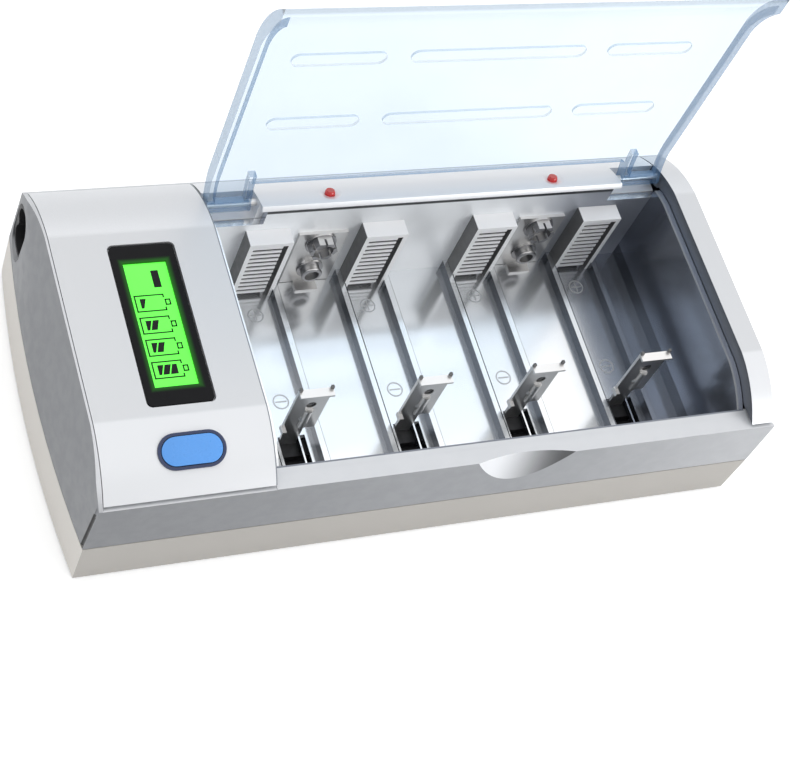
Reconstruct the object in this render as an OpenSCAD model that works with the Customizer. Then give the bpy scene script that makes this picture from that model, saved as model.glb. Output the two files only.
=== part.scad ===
// Four-bay universal battery charger with a display panel, a sprung contact in
// each bay, two snap terminals and a clear hinged lid. Millimetres, +Z up.
// The origin is on the table under the middle of the case, +X to the right, +Y to the back.

/* [Case] */
// Length of the case at its corners
case_l = 200; // [190:1:230]
// How far each end bows out past its corners
end_bulge = 3.2; // [1:0.1:6]
// How far the top of each end leans in
end_lean = 1.2; // [0.5:0.1:3]
// Depth of the case, front to back
case_d = 96.7; // [95:0.1:110]
// Height of the case above its base
case_h = 46.8; // [46:0.1:52]
// Height of the line where the two shells part
parting_z = 17; // [14:0.5:20]
// How far below the top the front and rear walls start to curve
shoulder_drop = 9.6; // [9:0.1:10.4]
// Length of the rounded nose at the front
nose_l = 19.6; // [18:0.1:22]
// Length of the rounded hump at the back
hump_l = 21.3; // [20:0.1:23]
// Angle of the crease where the nose and the hump start
crease = 6; // [2:0.5:9]
// Wall of the shells
wall = 2.2; // [1.6:0.1:2.6]
// Floor of the lower shell
base_floor = 2.4; // [2:0.1:2.6]
// Height of the shadow gap between the shells
seam_h = 0.4; // [0.2:0.1:0.8]
// Thickness of the top covers
cover_t = 2.2; // [1.8:0.1:2.6]
// Gap between a cover and what is beside it
cover_gap = 0.4; // [0.2:0.05:0.8]
// Height of the shadow gap under the covers' lower edges
shadow_gap = 0.9; // [0.4:0.1:1.2]
// How far the rubber feet stand below the base
foot_proud = 0.8; // [0.4:0.1:2]
// Diameter of a rubber foot
foot_d = 9; // [6:0.5:10]

/* [Battery tub] */
// Share of the case's length that the inside of the tub takes
tub_share = 0.698; // [0.69:0.001:0.705]
// How far the tub's middle is to the right, as a share of the case's length
tub_shift = 0.097; // [0.094:0.0005:0.1]
// Depth of the bar in front of the tub
front_bar_d = 4.45; // [4:0.05:5]
// Depth of the bar behind the tub
rear_bar_d = 15.85; // [15.4:0.05:16.4]
// Height of the tub's floor
tub_floor = 8.2; // [7.8:0.1:9]
// Wall of the tub
tub_t = 2; // [1.6:0.1:2.2]
// Height of the rails beside each channel
rail_h = 3.4; // [2:0.1:4]
// Width of a rail
rail_w = 1.8; // [1.2:0.1:2.4]
// Width of the channel between the rails
channel_w = 12.4; // [12:0.1:13]
// Width of the slot that a slider runs in
slot_w = 8; // [7:0.1:9]
// Width of the thumb notch in the front bar
notch_w = 29.7; // [20:0.1:40]
// Depth of the thumb notch below the top of the front bar
notch_h = 12; // [6:0.5:14]
// Depth of the thumb notch from front to back
notch_depth = 1.8; // [1:0.1:1.9]

/* [Contacts] */
// Width of a fixed contact block
block_w = 13; // [12.6:0.1:14]
// Depth of a fixed contact block
block_d = 5.2; // [4.6:0.1:6]
// Height of a fixed contact block
block_h = 27; // [24:0.5:28]
// Number of ribs on a contact plate
rib_n = 12; // [6:1:13]
// Width of a snap plate
snap_w = 15; // [12:0.1:16]
// Height of a snap plate
snap_h = 24; // [23:0.1:25]
// Distance between the two snaps
snap_pitch = 12.7; // [12:0.1:13]
// Diameter of the snap stud
stud_d = 5.7; // [5:0.1:6]
// Width of the snap socket
socket_d = 8.6; // [8:0.1:9]

/* [Sliders] */
// Contact face of a slider at rest, from the front of the case
slider_set = 29.35; // [28.4:0.05:30.4]
// How far a slider slides to the front
slider_travel = 18.5; // [16:0.1:19]
// Width of a slider plate
plate_w = 9.8; // [9:0.1:10.4]
// Height of a slider plate above the floor
plate_h = 26.6; // [22:0.1:27]
// Thickness of the sheet metal
sheet_t = 0.8; // [0.5:0.05:1]
// Gap between a slider and what guides it
slide_gap = 0.3; // [0.2:0.05:0.4]
// Diameter of a slider spring
spring_d = 2.8; // [2.2:0.1:3]
// Number of turns of a slider spring
spring_turns = 12; // [8:1:16]

/* [Lid] */
// Thickness of the lid
lid_t = 2; // [1.6:0.1:2.2]
// Height of the walls along the lid's sides
lid_rim = 4.1; // [3.6:0.1:4.4]
// Gap round the lid
lid_gap = 0.6; // [0.4:0.05:0.8]
// Distance of the hinge axis from the back of the case
hinge_set = 11.25; // [10.9:0.05:11.8]
// Depth of the hinge axis below the top of the case
hinge_drop = 4.7; // [4.5:0.05:5]
// Angle at which the lid stands open
lid_open = 90; // [80:1:95]
// Diameter of a hinge pin
pin_d = 2; // [1.6:0.1:2.2]
// Clearance of the lid on its pins, each side
pin_fit = 0.06; // [0.03:0.01:0.1]
// Length of each hinge ear
ear_l = 12.6; // [10:0.1:13]
// Length of each hinge notch in the rear bar
ear_notch_l = 15; // [14.5:0.1:16]
// Height of the raised ribs on the lid
lid_rib_h = 0.7; // [0.4:0.1:1]
// Width of the raised ribs on the lid
lid_rib_w = 4.4; // [3:0.1:6]

/* [Display] */
// How far the display is to the right of the middle of its panel
lcd_shift = 0.95; // [0:0.05:2]
// Middle of the display, front to back
lcd_y = -1.4; // [-3:0.1:0]
// Width of the display window
lcd_w = 17.5; // [14:0.1:20]
// Length of the display window
lcd_l = 48.3; // [40:0.1:50]
// Width of the lit area
lit_w = 11.8; // [10:0.1:13]
// Length of the lit area
lit_l = 37.8; // [30:0.1:38]
// Length of the button
button_l = 15.9; // [13:0.1:18]
// Width of the button
button_w = 7.4; // [6:0.1:9]
// Place of the button round the nose, from the top
button_angle = 22.9; // [21.5:0.1:24.5]
// How far the button stands out
button_proud = 1.3; // [0.8:0.1:2]
// How far the button travels
button_travel = 0.6; // [0.3:0.05:0.9]
// Gap round the button
button_gap = 0.2; // [0.15:0.05:0.4]
// Width of the rim round the button
rim_w = 0.8; // [0.6:0.1:1.4]

/* [Power inlet] */
// Middle of the inlet, from the back of the case
inlet_set = 6.9; // [6.9:0.05:8]
// Drop from the shoulder to the middle of the inlet
inlet_drop = 8.8; // [8.8:0.1:10.2]
// Length of the inlet's opening
inlet_l = 16.2; // [16:0.1:17]
// Width of the inlet's opening
inlet_w = 8.8; // [8.6:0.1:9]
// Depth of the inlet's opening
inlet_depth = 16; // [14:0.5:17]
// Distance between the two pins
inlet_pitch = 8.6; // [8.4:0.1:8.8]
// Diameter of an inlet pin
inlet_pin_d = 2.4; // [2.2:0.1:2.6]
// Wall of the inlet's body
inlet_wall = 1.2; // [1:0.1:1.2]

/* [Indicators] */
// Distance between the two lamps
led_pitch = 70.4; // [60:0.1:80]
// Diameter of a lamp
led_d = 3; // [2:0.1:3.4]

/* [Hidden] */
$fn = 64;
e = 0.01;

// Case form
front_y = -case_d / 2;
rear_y = case_d / 2;
shoulder_z = case_h - shoulder_drop;
nose_r = arc_r(nose_l);
hump_r = arc_r(hump_l);
nose_cz = case_h - nose_r * cos(crease);
hump_cz = case_h - hump_r * cos(crease);
nose_cy = front_y + nose_l + nose_r * sin(crease);
hump_cy = rear_y - hump_l - hump_r * sin(crease);
end_r = (pow(case_d / 2, 2) + pow(end_bulge, 2)) / (2 * end_bulge);
end_cx = end_r - case_l / 2 - end_bulge;
end_fn = 720;
top_x = case_l / 2 - end_lean;
end_lip = 0.6;
lip_gap = 0.2;
end_ledge = 2.2;
groove_w = 1;
cover_left = -top_x + end_lip + lip_gap;
cover_right = top_x - cover_gap;
beyond = 60;

// Battery tub
tub_l = tub_share * case_l;
bay_mid = tub_shift * case_l;
bay_pitch = tub_l / 4 + 0.1;
tub_front = front_y + front_bar_d;
tub_rear = rear_y - rear_bar_d;
tub_x0 = bay_mid - tub_l / 2;
tub_x1 = bay_mid + tub_l / 2;
tub_bottom = tub_floor - tub_t;
bar_t = 2.4;
tub_top_inset = max(lid_rim, cover_t + wall) + 0.1;
tub_front_top = shoulder_z - bar_t - 0.1;
bay_x = [for (i = [0 : 3]) bay_mid + (i - 1.5) * bay_pitch];
snap_x = [(bay_x[0] + bay_x[1]) / 2, (bay_x[2] + bay_x[3]) / 2];
tub_fit = 0.2;
deck_left = tub_x0 - tub_t - tub_fit;
deck_right = tub_x1 + tub_t + tub_fit;
bar_z = shoulder_z + 0.2;
block_y = tub_rear - block_d;
field_w = block_w - 2.8;
field_h = block_h - 1.4;
field_d = 2.4;

// Lid and hinge
hinge_y = rear_y - hinge_set;
hinge_z = case_h - hinge_drop;
lid_x0 = deck_left + lid_gap;
lid_x1 = deck_right - lid_gap;
knuckle_r = 2.3;
led_l = 2.4;
lip_r = 5.6;
lid_back_r = lip_r + 0.5;
lip_z = case_h - lid_t - 0.4;
wall_top = lip_z - 0.9;
ear_x = [lid_x0, lid_x1 - ear_l];
ear_notch_x = [deck_left, deck_right - ear_notch_l];
notch_floor_z = hinge_z - knuckle_r - 1.8;
lip_back = tub_rear + tub_t + 0.2;
notch_back_y = hinge_y + knuckle_r + 1.4;
notch_skin = 1.6;
pin_seat = 1.8;
pin_seat_fit = 0.04;
cheek_t = 2.4;
cheek_r = 3.4;
lid_rib_rows = [-17.2, 8.9];
lid_rib_cols = [for (c = [[-0.3228, 0.1849], [0, 0.362], [0.3228, 0.1849]]) c * (lid_x1 - lid_x0)];

// Slider
slider_y = front_y + slider_set;
carriage_w = channel_w - 1.2;
carriage_l = 5;
guide_w = 0.5;
slot_run_w = 0.74 * slot_w;
leg_x0 = -slot_w / 2 + slide_gap;
leg_w = slot_run_w - 2 * slide_gap;
leg_top = 6.4;
film_t = 0.4;
carriage_z0 = base_floor + film_t + slide_gap;
carriage_z1 = tub_bottom - slide_gap;
slot_back = slider_y + slide_gap;
slider_stop = slider_y - carriage_l - slider_travel - slide_gap / 2;
stop_w = 6;
spring_z = (carriage_z0 + carriage_z1) / 2;
spring_wire = 0.5;
spring_post_y = tub_rear - 12.5;
spring_y0 = slider_y + spring_wire / 2 + 0.05;
spring_y1 = spring_post_y - 0.8;

// Display, and the button on the normal to the nose
lcd_x = (cover_left + deck_left) / 2 + lcd_shift;
button_skirt = 4;
button_flange = 0.7;
button_flange_w = 0.9;
stem_h = 1.6;
stem_d = 3.4;
switch_cap = 1;
switch_w = 6;
bracket_w = 8;
switch_gap = 0.2;
switch_z = -button_skirt - stem_h - button_travel - switch_gap;
bracket_t = 1.6;
bracket_drop = 6;
bracket_l = button_l + 12;
bracket_post_x = button_l / 2 + 4;

// Fixings
screw_d = 2.6;
screw_head_d = 4.8;
screw_bore = screw_d + 0.1;
rear_screws = [[deck_left - 9.4, rear_y - 8.35], [deck_right - 7.4, rear_y - 8.35]];
front_screws = [[tub_x0 + 6, tub_front + 5], [tub_x1 - 6, tub_front + 5]];
boss_r = 3.2;
boss_h = 12;
foot_x = case_l / 2 - 8.5;
foot_y = case_d / 2 - 9;
foot_set = 0.8;

// Boards and inlet
inlet_y = rear_y - inlet_set;
inlet_z = shoulder_z - inlet_drop;
inlet_back = 2;
inlet_mouth = 0.4 - case_l / 2;
board_t = 1.6;
display_board_z = case_h - cover_t - 8.6;
board_hole_x = lcd_w / 2 + 4.4;
board_stand = 3;
board_x0 = -case_l / 2 + 6;
board_y0 = front_y + 8;
board_l = deck_left - 4 - board_x0;
board_d = case_d - 28;
board_inset = 4;
board_posts = [for (x = [board_inset, board_l - board_inset], y = [board_inset, board_d - board_inset])
    [board_x0 + x, board_y0 + y]];
board_top = base_floor + board_stand + board_t;
core_l = 18;
core_t = 4;
core_h = 15;
coil_d = 13;
coil_l = 14;
coil_over = 2;

// Half the length of the upper shell at a height, at its front and rear corners
function end_x(z) = case_l / 2 - (case_l / 2 - top_x) * (z - parting_z) / (case_h - parting_z);

// Radius of the arc that drops from the top to the shoulder over a length, after its crease
function arc_r(l) = norm([l, shoulder_drop]) / (2 * sin(atan(shoulder_drop / l) - crease));

// Half the width of an arc's circle where it meets the top, for an inset outline
function arc_reach(r, inset) = sqrt(pow(r - inset, 2) - pow(r * cos(crease) - inset, 2));

// Raises a sub-part so that the feet reach the table
module lift() {
    translate([0, 0, foot_proud]) children();
}

// Extrudes a front-to-back outline along the case
module along_x(x0, x1) {
    translate([x0, 0, 0]) rotate([90, 0, 90]) linear_extrude(x1 - x0) children();
}

// Side outline of the case, with its nose and hump
module side_profile(inset = 0) {
    difference() {
        translate([front_y + inset, 0]) square([case_d - 2 * inset, case_h - inset]);
        difference() {
            translate([nose_cy - arc_reach(nose_r, inset) - 2 * beyond, nose_cz]) square([2 * beyond, beyond]);
            translate([nose_cy, nose_cz]) circle(r = nose_r - inset, $fn = 180);
        }
        difference() {
            translate([hump_cy + arc_reach(hump_r, inset), hump_cz]) square([2 * beyond, beyond]);
            translate([hump_cy, hump_cz]) circle(r = hump_r - inset, $fn = 180);
        }
    }
}

// Band that lies between two insets of the side outline
module profile_band(outer, inner) {
    difference() {
        side_profile(outer);
        side_profile(inner);
    }
}

// Plan outline of the case, with its bowed ends
module case_plan(inset = 0) {
    intersection() {
        square([case_l + 2 * end_bulge + 2, case_d - 2 * inset], center = true);
        translate([end_cx, 0]) circle(r = end_r - inset, $fn = end_fn);
        translate([-end_cx, 0]) circle(r = end_r - inset, $fn = end_fn);
    }
}

// Outer form of the upper shell: bowed at the parting line, straight along the top
module housing_form() {
    intersection() {
        along_x(-case_l, case_l) side_profile();
        hull() {
            translate([0, 0, parting_z]) linear_extrude(e) case_plan();
            translate([0, 0, case_h - e]) linear_extrude(e) square([2 * top_x, case_d], center = true);
        }
    }
}

// A flat outline with round ends, along X
module stadium(l, w) {
    square([l - w, w], center = true);
    for (s = [-1, 1]) translate([s * (l - w) / 2, 0]) circle(d = w);
}

// A rectangle with round corners
module round_rect(l, w, r) {
    square([l - 2 * r, w], center = true);
    square([l, w - 2 * r], center = true);
    for (sx = [-1, 1], sy = [-1, 1]) translate([sx * (l / 2 - r), sy * (w / 2 - r)]) circle(r = r);
}

// Places a shape on the nose, its Z along the outward normal at the button
module on_nose() {
    translate([lcd_x, nose_cy, nose_cz]) rotate([button_angle, 0, 0]) translate([0, 0, nose_r]) children();
}

// Places a shape on the hump above the hinge, its Z along the outward normal
module on_hump(x) {
    tilt = asin((hinge_y - hump_cy) / hump_r);
    translate([x, hump_cy, hump_cz]) rotate([-tilt, 0, 0]) translate([0, 0, hump_r]) children();
}

// Lower shell with its rim, bosses, spring posts and foot recesses
module base_case() {
    color([0.86, 0.85, 0.82]) lift() difference() {
        union() {
            difference() {
                linear_extrude(parting_z) case_plan();
                translate([0, 0, base_floor]) linear_extrude(parting_z) case_plan(wall);
                translate([0, 0, parting_z - seam_h]) linear_extrude(seam_h + 1) difference() {
                    square([2 * case_l, 2 * case_d], center = true);
                    case_plan(wall / 2);
                }
            }
            for (p = rear_screws) translate([p.x, p.y, base_floor - e])
                cylinder(r = boss_r, h = parting_z - base_floor + e);
            for (p = front_screws) translate([p.x, p.y, base_floor - e])
                cylinder(r = boss_r, h = tub_bottom - base_floor - 1 + e);
            for (p = board_posts) translate([p.x, p.y, base_floor - e]) cylinder(d = 5, h = board_stand + e);
            for (x = bay_x) translate([x, spring_post_y, base_floor - e])
                cylinder(d = 2, h = carriage_z1 - base_floor + e);
            // Stops at the front end of each slider's run
            for (x = bay_x) translate([x - stop_w / 2, front_y + wall / 2, base_floor - e])
                cube([stop_w, slider_stop - front_y - wall / 2, carriage_z1 - base_floor + e]);
        }
        for (p = concat(rear_screws, front_screws)) translate([p.x, p.y, -1]) {
            cylinder(d = screw_bore, h = parting_z + 2);
            cylinder(d = screw_head_d + 0.4, h = 1 + base_floor - 0.4);
        }
        for (sx = [-1, 1], sy = [-1, 1]) translate([sx * foot_x, sy * foot_y, -1])
            cylinder(d = foot_d + 0.2, h = 1 + foot_set);
        inlet_opening();
    }
}

// Black film on the base's floor under the sliders
module insulating_film() {
    film_y0 = slider_stop + 0.2;
    color([0.05, 0.05, 0.06]) lift() difference() {
        translate([tub_x0, film_y0, base_floor]) cube([tub_l, spring_post_y - 2 - film_y0, film_t]);
        for (p = front_screws) translate([p.x, p.y, 0]) cylinder(r = boss_r + 0.2, h = case_h);
    }
}

// Upper shell: front band, bowed ends, rear wall and front bar with its thumb notch
module upper_housing() {
    inner_x = top_x - end_lip - end_ledge;
    color([0.66, 0.67, 0.69]) lift() difference() {
        union() {
            difference() {
                housing_form();
                // Room under the covers and inside the walls
                along_x(cover_left - lip_gap, case_l) difference() {
                    profile_band(-1, cover_t);
                    translate([-case_d, -1]) square([2 * case_d, shoulder_z + 1]);
                }
                along_x(-inner_x, inner_x) side_profile(cover_t + wall);
                translate([0, 0, parting_z - 1]) linear_extrude(shoulder_z - bar_t - parting_z + 1)
                    intersection() {
                        case_plan(wall);
                        square([2 * inner_x, case_d], center = true);
                    }
                // Opening for the tub and its covers
                along_x(-inner_x, inner_x) translate([-case_d, shoulder_z])
                    square([2 * case_d, case_h]);
                along_x(deck_left, deck_right) translate([-case_d, bar_z]) square([2 * case_d, case_h]);
            }
            // Bar over the tub's front wall
            along_x(deck_left, deck_right) translate([front_y, bar_z - bar_t])
                square([tub_front - front_y, bar_t]);
            // Bosses for the rear screws
            for (p = rear_screws) translate([p.x, p.y, parting_z]) {
                cylinder(r = boss_r, h = boss_h);
                translate([-1, 0, 0]) cube([2, rear_y - wall - p.y + 0.5, boss_h]);
            }
        }
        for (p = rear_screws) translate([p.x, p.y, parting_z - 1]) cylinder(d = screw_bore, h = boss_h - 1);
        thumb_notch();
        for (s = [-1, 1]) corner_groove(s);
        inlet_opening();
    }
}

// Groove down a front corner, on the end's side
module corner_groove(s) {
    hull() for (z = [parting_z, shoulder_z])
        translate([s * (end_x(z) + groove_w / 4), front_y + groove_w, z]) cylinder(d = groove_w, h = e);
}

// Lens-shaped scoop for a fingertip
module thumb_notch() {
    scoop_r = (pow(notch_w / 2, 2) + pow(notch_depth, 2)) / (2 * notch_depth);
    translate([bay_mid, front_y + notch_depth, bar_z]) rotate([-atan(notch_depth / notch_h), 0, 0])
        translate([0, -scoop_r, 0]) cylinder(r = scoop_r, h = 4 * notch_h, center = true, $fn = 360);
}

// Tray for the cells: floor, rails, slots and walls
module battery_tub() {
    color([0.78, 0.79, 0.81]) lift() difference() {
        union() {
            intersection() {
                difference() {
                    translate([tub_x0 - tub_t, tub_front - tub_t, tub_bottom])
                        cube([tub_l + 2 * tub_t, tub_rear - tub_front + 2 * tub_t, case_h]);
                    translate([tub_x0, tub_front, tub_floor])
                        cube([tub_l, tub_rear - tub_front, case_h]);
                    translate([tub_x0 - beyond, tub_front - beyond, tub_front_top])
                        cube([tub_l + 2 * beyond, beyond, case_h]);
                    translate([tub_x0 - beyond, tub_rear - e, wall_top])
                        cube([tub_l + 2 * beyond, beyond, case_h]);
                    for (x = ear_notch_x) translate([x - cover_gap - tub_t, tub_rear - e, notch_floor_z - 0.2])
                        cube([ear_notch_l + 2 * cover_gap + 2 * tub_t, beyond, case_h]);
                }
                union() {
                    along_x(-case_l, case_l) {
                        side_profile(tub_top_inset);
                        translate([-case_d, 0]) square([2 * case_d, tub_front_top]);
                    }
                    along_x(tub_x0, tub_x1) translate([tub_rear, 0]) square([tub_t, wall_top]);
                }
            }
            for (x = bay_x, s = [-1, 1])
                translate([x + s * (channel_w + rail_w) / 2 - rail_w / 2, tub_front, tub_floor - e])
                    cube([rail_w, tub_rear - tub_front, rail_h + e]);
            for (p = front_screws) translate([p.x, p.y, tub_bottom - 1]) cylinder(r = boss_r, h = 1 + e);
        }
        for (x = bay_x) {
            translate([x - slot_w / 2, tub_front, tub_bottom - 1])
                cube([slot_run_w, slot_back - tub_front, tub_t + 2]);
            translate([x - slot_w / 2 + slot_run_w + guide_w, tub_front, tub_bottom - 1])
                cube([slot_w - slot_run_w - guide_w, slot_back - tub_front, tub_t + 2]);
        }
        for (p = front_screws) translate([p.x, p.y, tub_bottom - 2])
            cylinder(d = screw_bore, h = tub_t + 1.4);
    }
}

// Cheek that holds the outer end of a hinge pin
module hinge_cheek(x) {
    intersection() {
        translate([x, hinge_y, hinge_z]) rotate([0, 90, 0]) cylinder(r = cheek_r, h = cheek_t);
        along_x(-case_l, case_l) side_profile(e);
    }
}

// Cover that follows the side outline between two places along the case
module cover(x0, x1) {
    along_x(x0, x1) difference() {
        profile_band(0, cover_t);
        translate([-case_d, -1]) square([2 * case_d, shoulder_z + shadow_gap + 1]);
    }
}

// Left cover with the display window and the button's hole
module display_panel() {
    color([0.83, 0.84, 0.86]) lift() difference() {
        union() {
            cover(cover_left, deck_left);
            along_x(deck_left - cheek_t, deck_left) difference() {
                profile_band(e, tub_top_inset);
                translate([-case_d, -1]) square([2 * case_d, shoulder_z + shadow_gap + 1]);
            }
            hinge_cheek(deck_left - cheek_t);
            // Posts for the switch bracket and the display board
            intersection() {
                along_x(-case_l, case_l) side_profile(e);
                union() {
                    for (s = [-1, 1]) on_nose()
                        translate([s * bracket_post_x, 0, switch_z - bracket_drop + bracket_t])
                            cylinder(d = 3.6, h = -switch_z + bracket_drop - bracket_t);
                    for (s = [-1, 1]) translate([lcd_x + s * board_hole_x, lcd_y, display_board_z + board_t])
                        cylinder(d = 4.4, h = case_h - display_board_z - board_t);
                }
            }
            // Ring under the window that carries the display
            translate([lcd_x, lcd_y, case_h - cover_t - 1.6]) linear_extrude(1.6 + e) difference() {
                round_rect(lcd_w + 3.6, lcd_l + 3.6, 2);
                square([lit_w + 1.6, lit_l + 1.6], center = true);
            }
        }
        translate([lcd_x, lcd_y, case_h - 1.6]) linear_extrude(beyond)
            round_rect(lcd_w + 2 * cover_gap, lcd_l + 2 * cover_gap, 1.6);
        translate([lcd_x, lcd_y, case_h - beyond]) linear_extrude(beyond)
            square([lit_w + 1.6, lit_l + 1.6], center = true);
        on_nose() translate([0, 0, -beyond / 2]) linear_extrude(beyond)
            stadium(button_l + 2 * button_gap, button_w + 2 * button_gap);
        on_nose() translate([0, 0, -0.6]) linear_extrude(beyond)
            stadium(button_l + 2 * button_gap + 2 * rim_w + 0.1, button_w + 2 * button_gap + 2 * rim_w + 0.1);
        pin_hole(deck_left - pin_seat);
    }
}

// Blind hole for the end of a hinge pin
module pin_hole(x) {
    translate([x, hinge_y, hinge_z]) rotate([0, 90, 0]) cylinder(d = pin_d + pin_seat_fit, h = beyond);
}

// Right cover beside the lid
module right_trim() {
    color([0.83, 0.84, 0.86]) lift() difference() {
        union() {
            cover(deck_right, cover_right);
            along_x(deck_right, deck_right + cheek_t) difference() {
                profile_band(e, tub_top_inset);
                translate([-case_d, -1]) square([2 * case_d, shoulder_z + shadow_gap + 1]);
            }
            hinge_cheek(deck_right);
        }
        translate([deck_right + pin_seat - beyond, 0, 0]) pin_hole(0);
    }
}

// Rear cover with a rounded lip, the hinge notches and the lamp holes
module rear_bar() {
    color([0.86, 0.87, 0.88]) lift() difference() {
        intersection() {
            union() {
                cover(deck_left + cover_gap, deck_right - cover_gap);
                // Lip whose front turns about the hinge axis
                along_x(deck_left + cover_gap, deck_right - cover_gap) difference() {
                    translate([lip_back, notch_floor_z - notch_skin])
                        square([notch_back_y + notch_skin - lip_back, case_h]);
                    translate([hinge_y, hinge_z]) square([beyond, beyond]);
                }
                along_x(deck_left + cover_gap, deck_right - cover_gap)
                    translate([hinge_y, hinge_z]) circle(r = lip_r);
            }
            along_x(-case_l, case_l) side_profile();
            along_x(-case_l, case_l) union() {
                translate([hinge_y, hinge_z]) circle(r = lip_r);
                translate([hinge_y - lip_r, 0]) square([beyond, hinge_z]);
                translate([hinge_y, 0]) square([beyond, case_h]);
            }
        }
        for (x = ear_notch_x) translate([x - cover_gap, tub_rear - 4, notch_floor_z])
            cube([ear_notch_l + 2 * cover_gap, notch_back_y - tub_rear + 4, case_h]);
        // Room for the tub's rear wall under the lip, and for the shell's rear wall
        along_x(-case_l, case_l) {
            translate([lip_back - beyond, lip_z - beyond]) square([beyond, beyond]);
            difference() {
                translate([hinge_y, 0]) square([beyond, shoulder_z + slide_gap]);
                side_profile(cover_t + wall + slide_gap);
            }
        }
        // Hollow behind the lip
        along_x(ear_notch_x[0] + ear_notch_l + cover_gap + cheek_t, ear_notch_x[1] - cover_gap - cheek_t)
            intersection() {
                side_profile(cover_t);
                translate([lip_back + cover_t, 0]) square([beyond, case_h]);
            }
        for (s = [-1, 1]) on_hump(bay_mid + s * led_pitch / 2) {
            translate([0, 0, -led_l - 0.2]) cylinder(d = led_d + 0.1, h = beyond);
            translate([0, 0, 11.5]) sphere(r = 12);
        }
        for (x = ear_notch_x) translate([x - pin_seat - cover_gap, hinge_y, hinge_z]) rotate([0, 90, 0])
            cylinder(d = pin_d + pin_seat_fit, h = ear_notch_l + 2 * pin_seat + 2 * cover_gap);
    }
}

// Dark window over the display
module lcd_window() {
    color([0.05, 0.05, 0.06]) lift() translate([lcd_x, lcd_y, case_h - 1.6]) linear_extrude(1.4) difference() {
        round_rect(lcd_w, lcd_l, 1.4);
        square([lit_w, lit_l], center = true);
    }
}

// Green lit display behind the window
module lcd_module() {
    color([0.39, 0.95, 0.3]) lift() translate([lcd_x, lcd_y, 0]) {
        translate([-lit_w / 2 + 0.1, -lit_l / 2 + 0.1, display_board_z + board_t])
            cube([lit_w - 0.2, lit_l - 0.2, case_h - 0.8 - display_board_z - board_t]);
    }
}

// Dark rim round the button
module button_rim() {
    color([0.05, 0.2, 0.5]) lift() on_nose() translate([0, 0, -0.6]) linear_extrude(1) difference() {
        stadium(button_l + 2 * button_gap + 2 * rim_w, button_w + 2 * button_gap + 2 * rim_w);
        stadium(button_l + 2 * button_gap, button_w + 2 * button_gap);
    }
}

// Push button with a crowned top and a stem to its switch
module button() {
    crown_r = 40;
    color([0.3, 0.6, 0.95]) lift() on_nose() {
        intersection() {
            translate([0, 0, -button_skirt]) linear_extrude(button_skirt + button_proud)
                stadium(button_l, button_w);
            translate([0, 0, button_proud - crown_r]) sphere(r = crown_r, $fn = 128);
        }
        translate([0, 0, -button_skirt]) linear_extrude(button_flange)
            stadium(button_l + 2 * button_flange_w, button_w + 2 * button_flange_w);
        translate([0, 0, -button_skirt - stem_h]) cylinder(d = stem_d, h = stem_h + e);
    }
}

// Switch under the button, on its small bracket
module tact_switch() {
    color([0.2, 0.2, 0.22]) lift() on_nose() translate([0, 0, switch_z]) {
        translate([0, 0, -switch_cap]) cylinder(d = stem_d, h = switch_cap);
        translate([-switch_w / 2, -switch_w / 2, bracket_t - bracket_drop - e])
            cube([switch_w, switch_w, bracket_drop - bracket_t - switch_cap + 2 * e]);
        translate([-bracket_l / 2, -bracket_w / 2, -bracket_drop]) cube([bracket_l, bracket_w, bracket_t]);
    }
}

// Board behind the display
module display_board() {
    color([0.1, 0.35, 0.2]) lift() difference() {
        translate([lcd_x - board_hole_x - 3, lcd_y - lit_l / 2 - 2, display_board_z])
            cube([2 * board_hole_x + 6, lit_l + 4, board_t]);
        for (s = [-1, 1]) translate([lcd_x + s * board_hole_x, lcd_y, display_board_z - 1])
            cylinder(d = 2.4, h = board_t + 2);
    }
}

// Power board in the left end of the lower shell
module main_board() {
    color([0.12, 0.4, 0.22]) lift() translate([0, 0, base_floor + board_stand]) difference() {
        translate([board_x0, board_y0, 0]) cube([board_l, board_d, board_t]);
        for (p = board_posts) translate([p.x, p.y, -1]) cylinder(d = 3, h = board_t + 2);
    }
}

// Transformer: bobbin between the halves of its core
module transformer() {
    gap = coil_l + 2 * (core_t - coil_over);
    core_at = [board_x0 + 0.27 * board_l, board_y0 + 0.38 * board_d, board_top];
    color([0.25, 0.25, 0.27]) lift() translate(core_at) {
        cube([core_l, core_t, core_h]);
        translate([0, gap, 0]) cube([core_l, core_t, core_h]);
        translate([core_l / 3, core_t / 2, core_h / 3]) cube([core_l / 3, gap, core_h / 3]);
        translate([core_l / 2, core_t, core_h / 2]) rotate([-90, 0, 0]) cylinder(d = coil_d, h = gap - core_t);
    }
}

// Tall parts on the power board
module board_components() {
    color([0.15, 0.18, 0.3]) lift() translate([board_x0, board_y0, board_top]) {
        translate([0.27 * board_l, 0.84 * board_d, 0]) cylinder(d = core_l * 2 / 3, h = core_h - 1);
        translate([0.64 * board_l, 0.87 * board_d, 0]) cylinder(d = core_l * 4 / 9, h = core_h - 3);
        translate([0.16 * board_l, 0.1 * board_d, 0]) cube([core_l * 0.7, core_l * 0.4, core_h - 4]);
        translate([0.78 * board_l, 0.12 * board_d, 0]) cylinder(d = core_l * 4 / 9, h = core_h - 3);
        translate([0.62 * board_l, 0.22 * board_d, 0]) cube([core_l * 0.55, core_t, core_h - 1]);
    }
}

// Two-pole mains inlet
module power_inlet() {
    color([0.06, 0.06, 0.07]) lift() translate([inlet_mouth, inlet_y, inlet_z]) rotate([90, 0, 90])
        rotate(90) difference() {
            linear_extrude(inlet_depth + inlet_back)
                stadium(inlet_l + 2 * inlet_wall, inlet_w + 2 * inlet_wall);
            translate([0, 0, -1]) linear_extrude(inlet_depth + 1) inlet_outline();
            for (s = [-1, 1]) translate([s * inlet_pitch / 2, 0, 0])
                cylinder(d = inlet_pin_d + 0.02, h = inlet_depth + 2 * inlet_back);
        }
}

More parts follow.
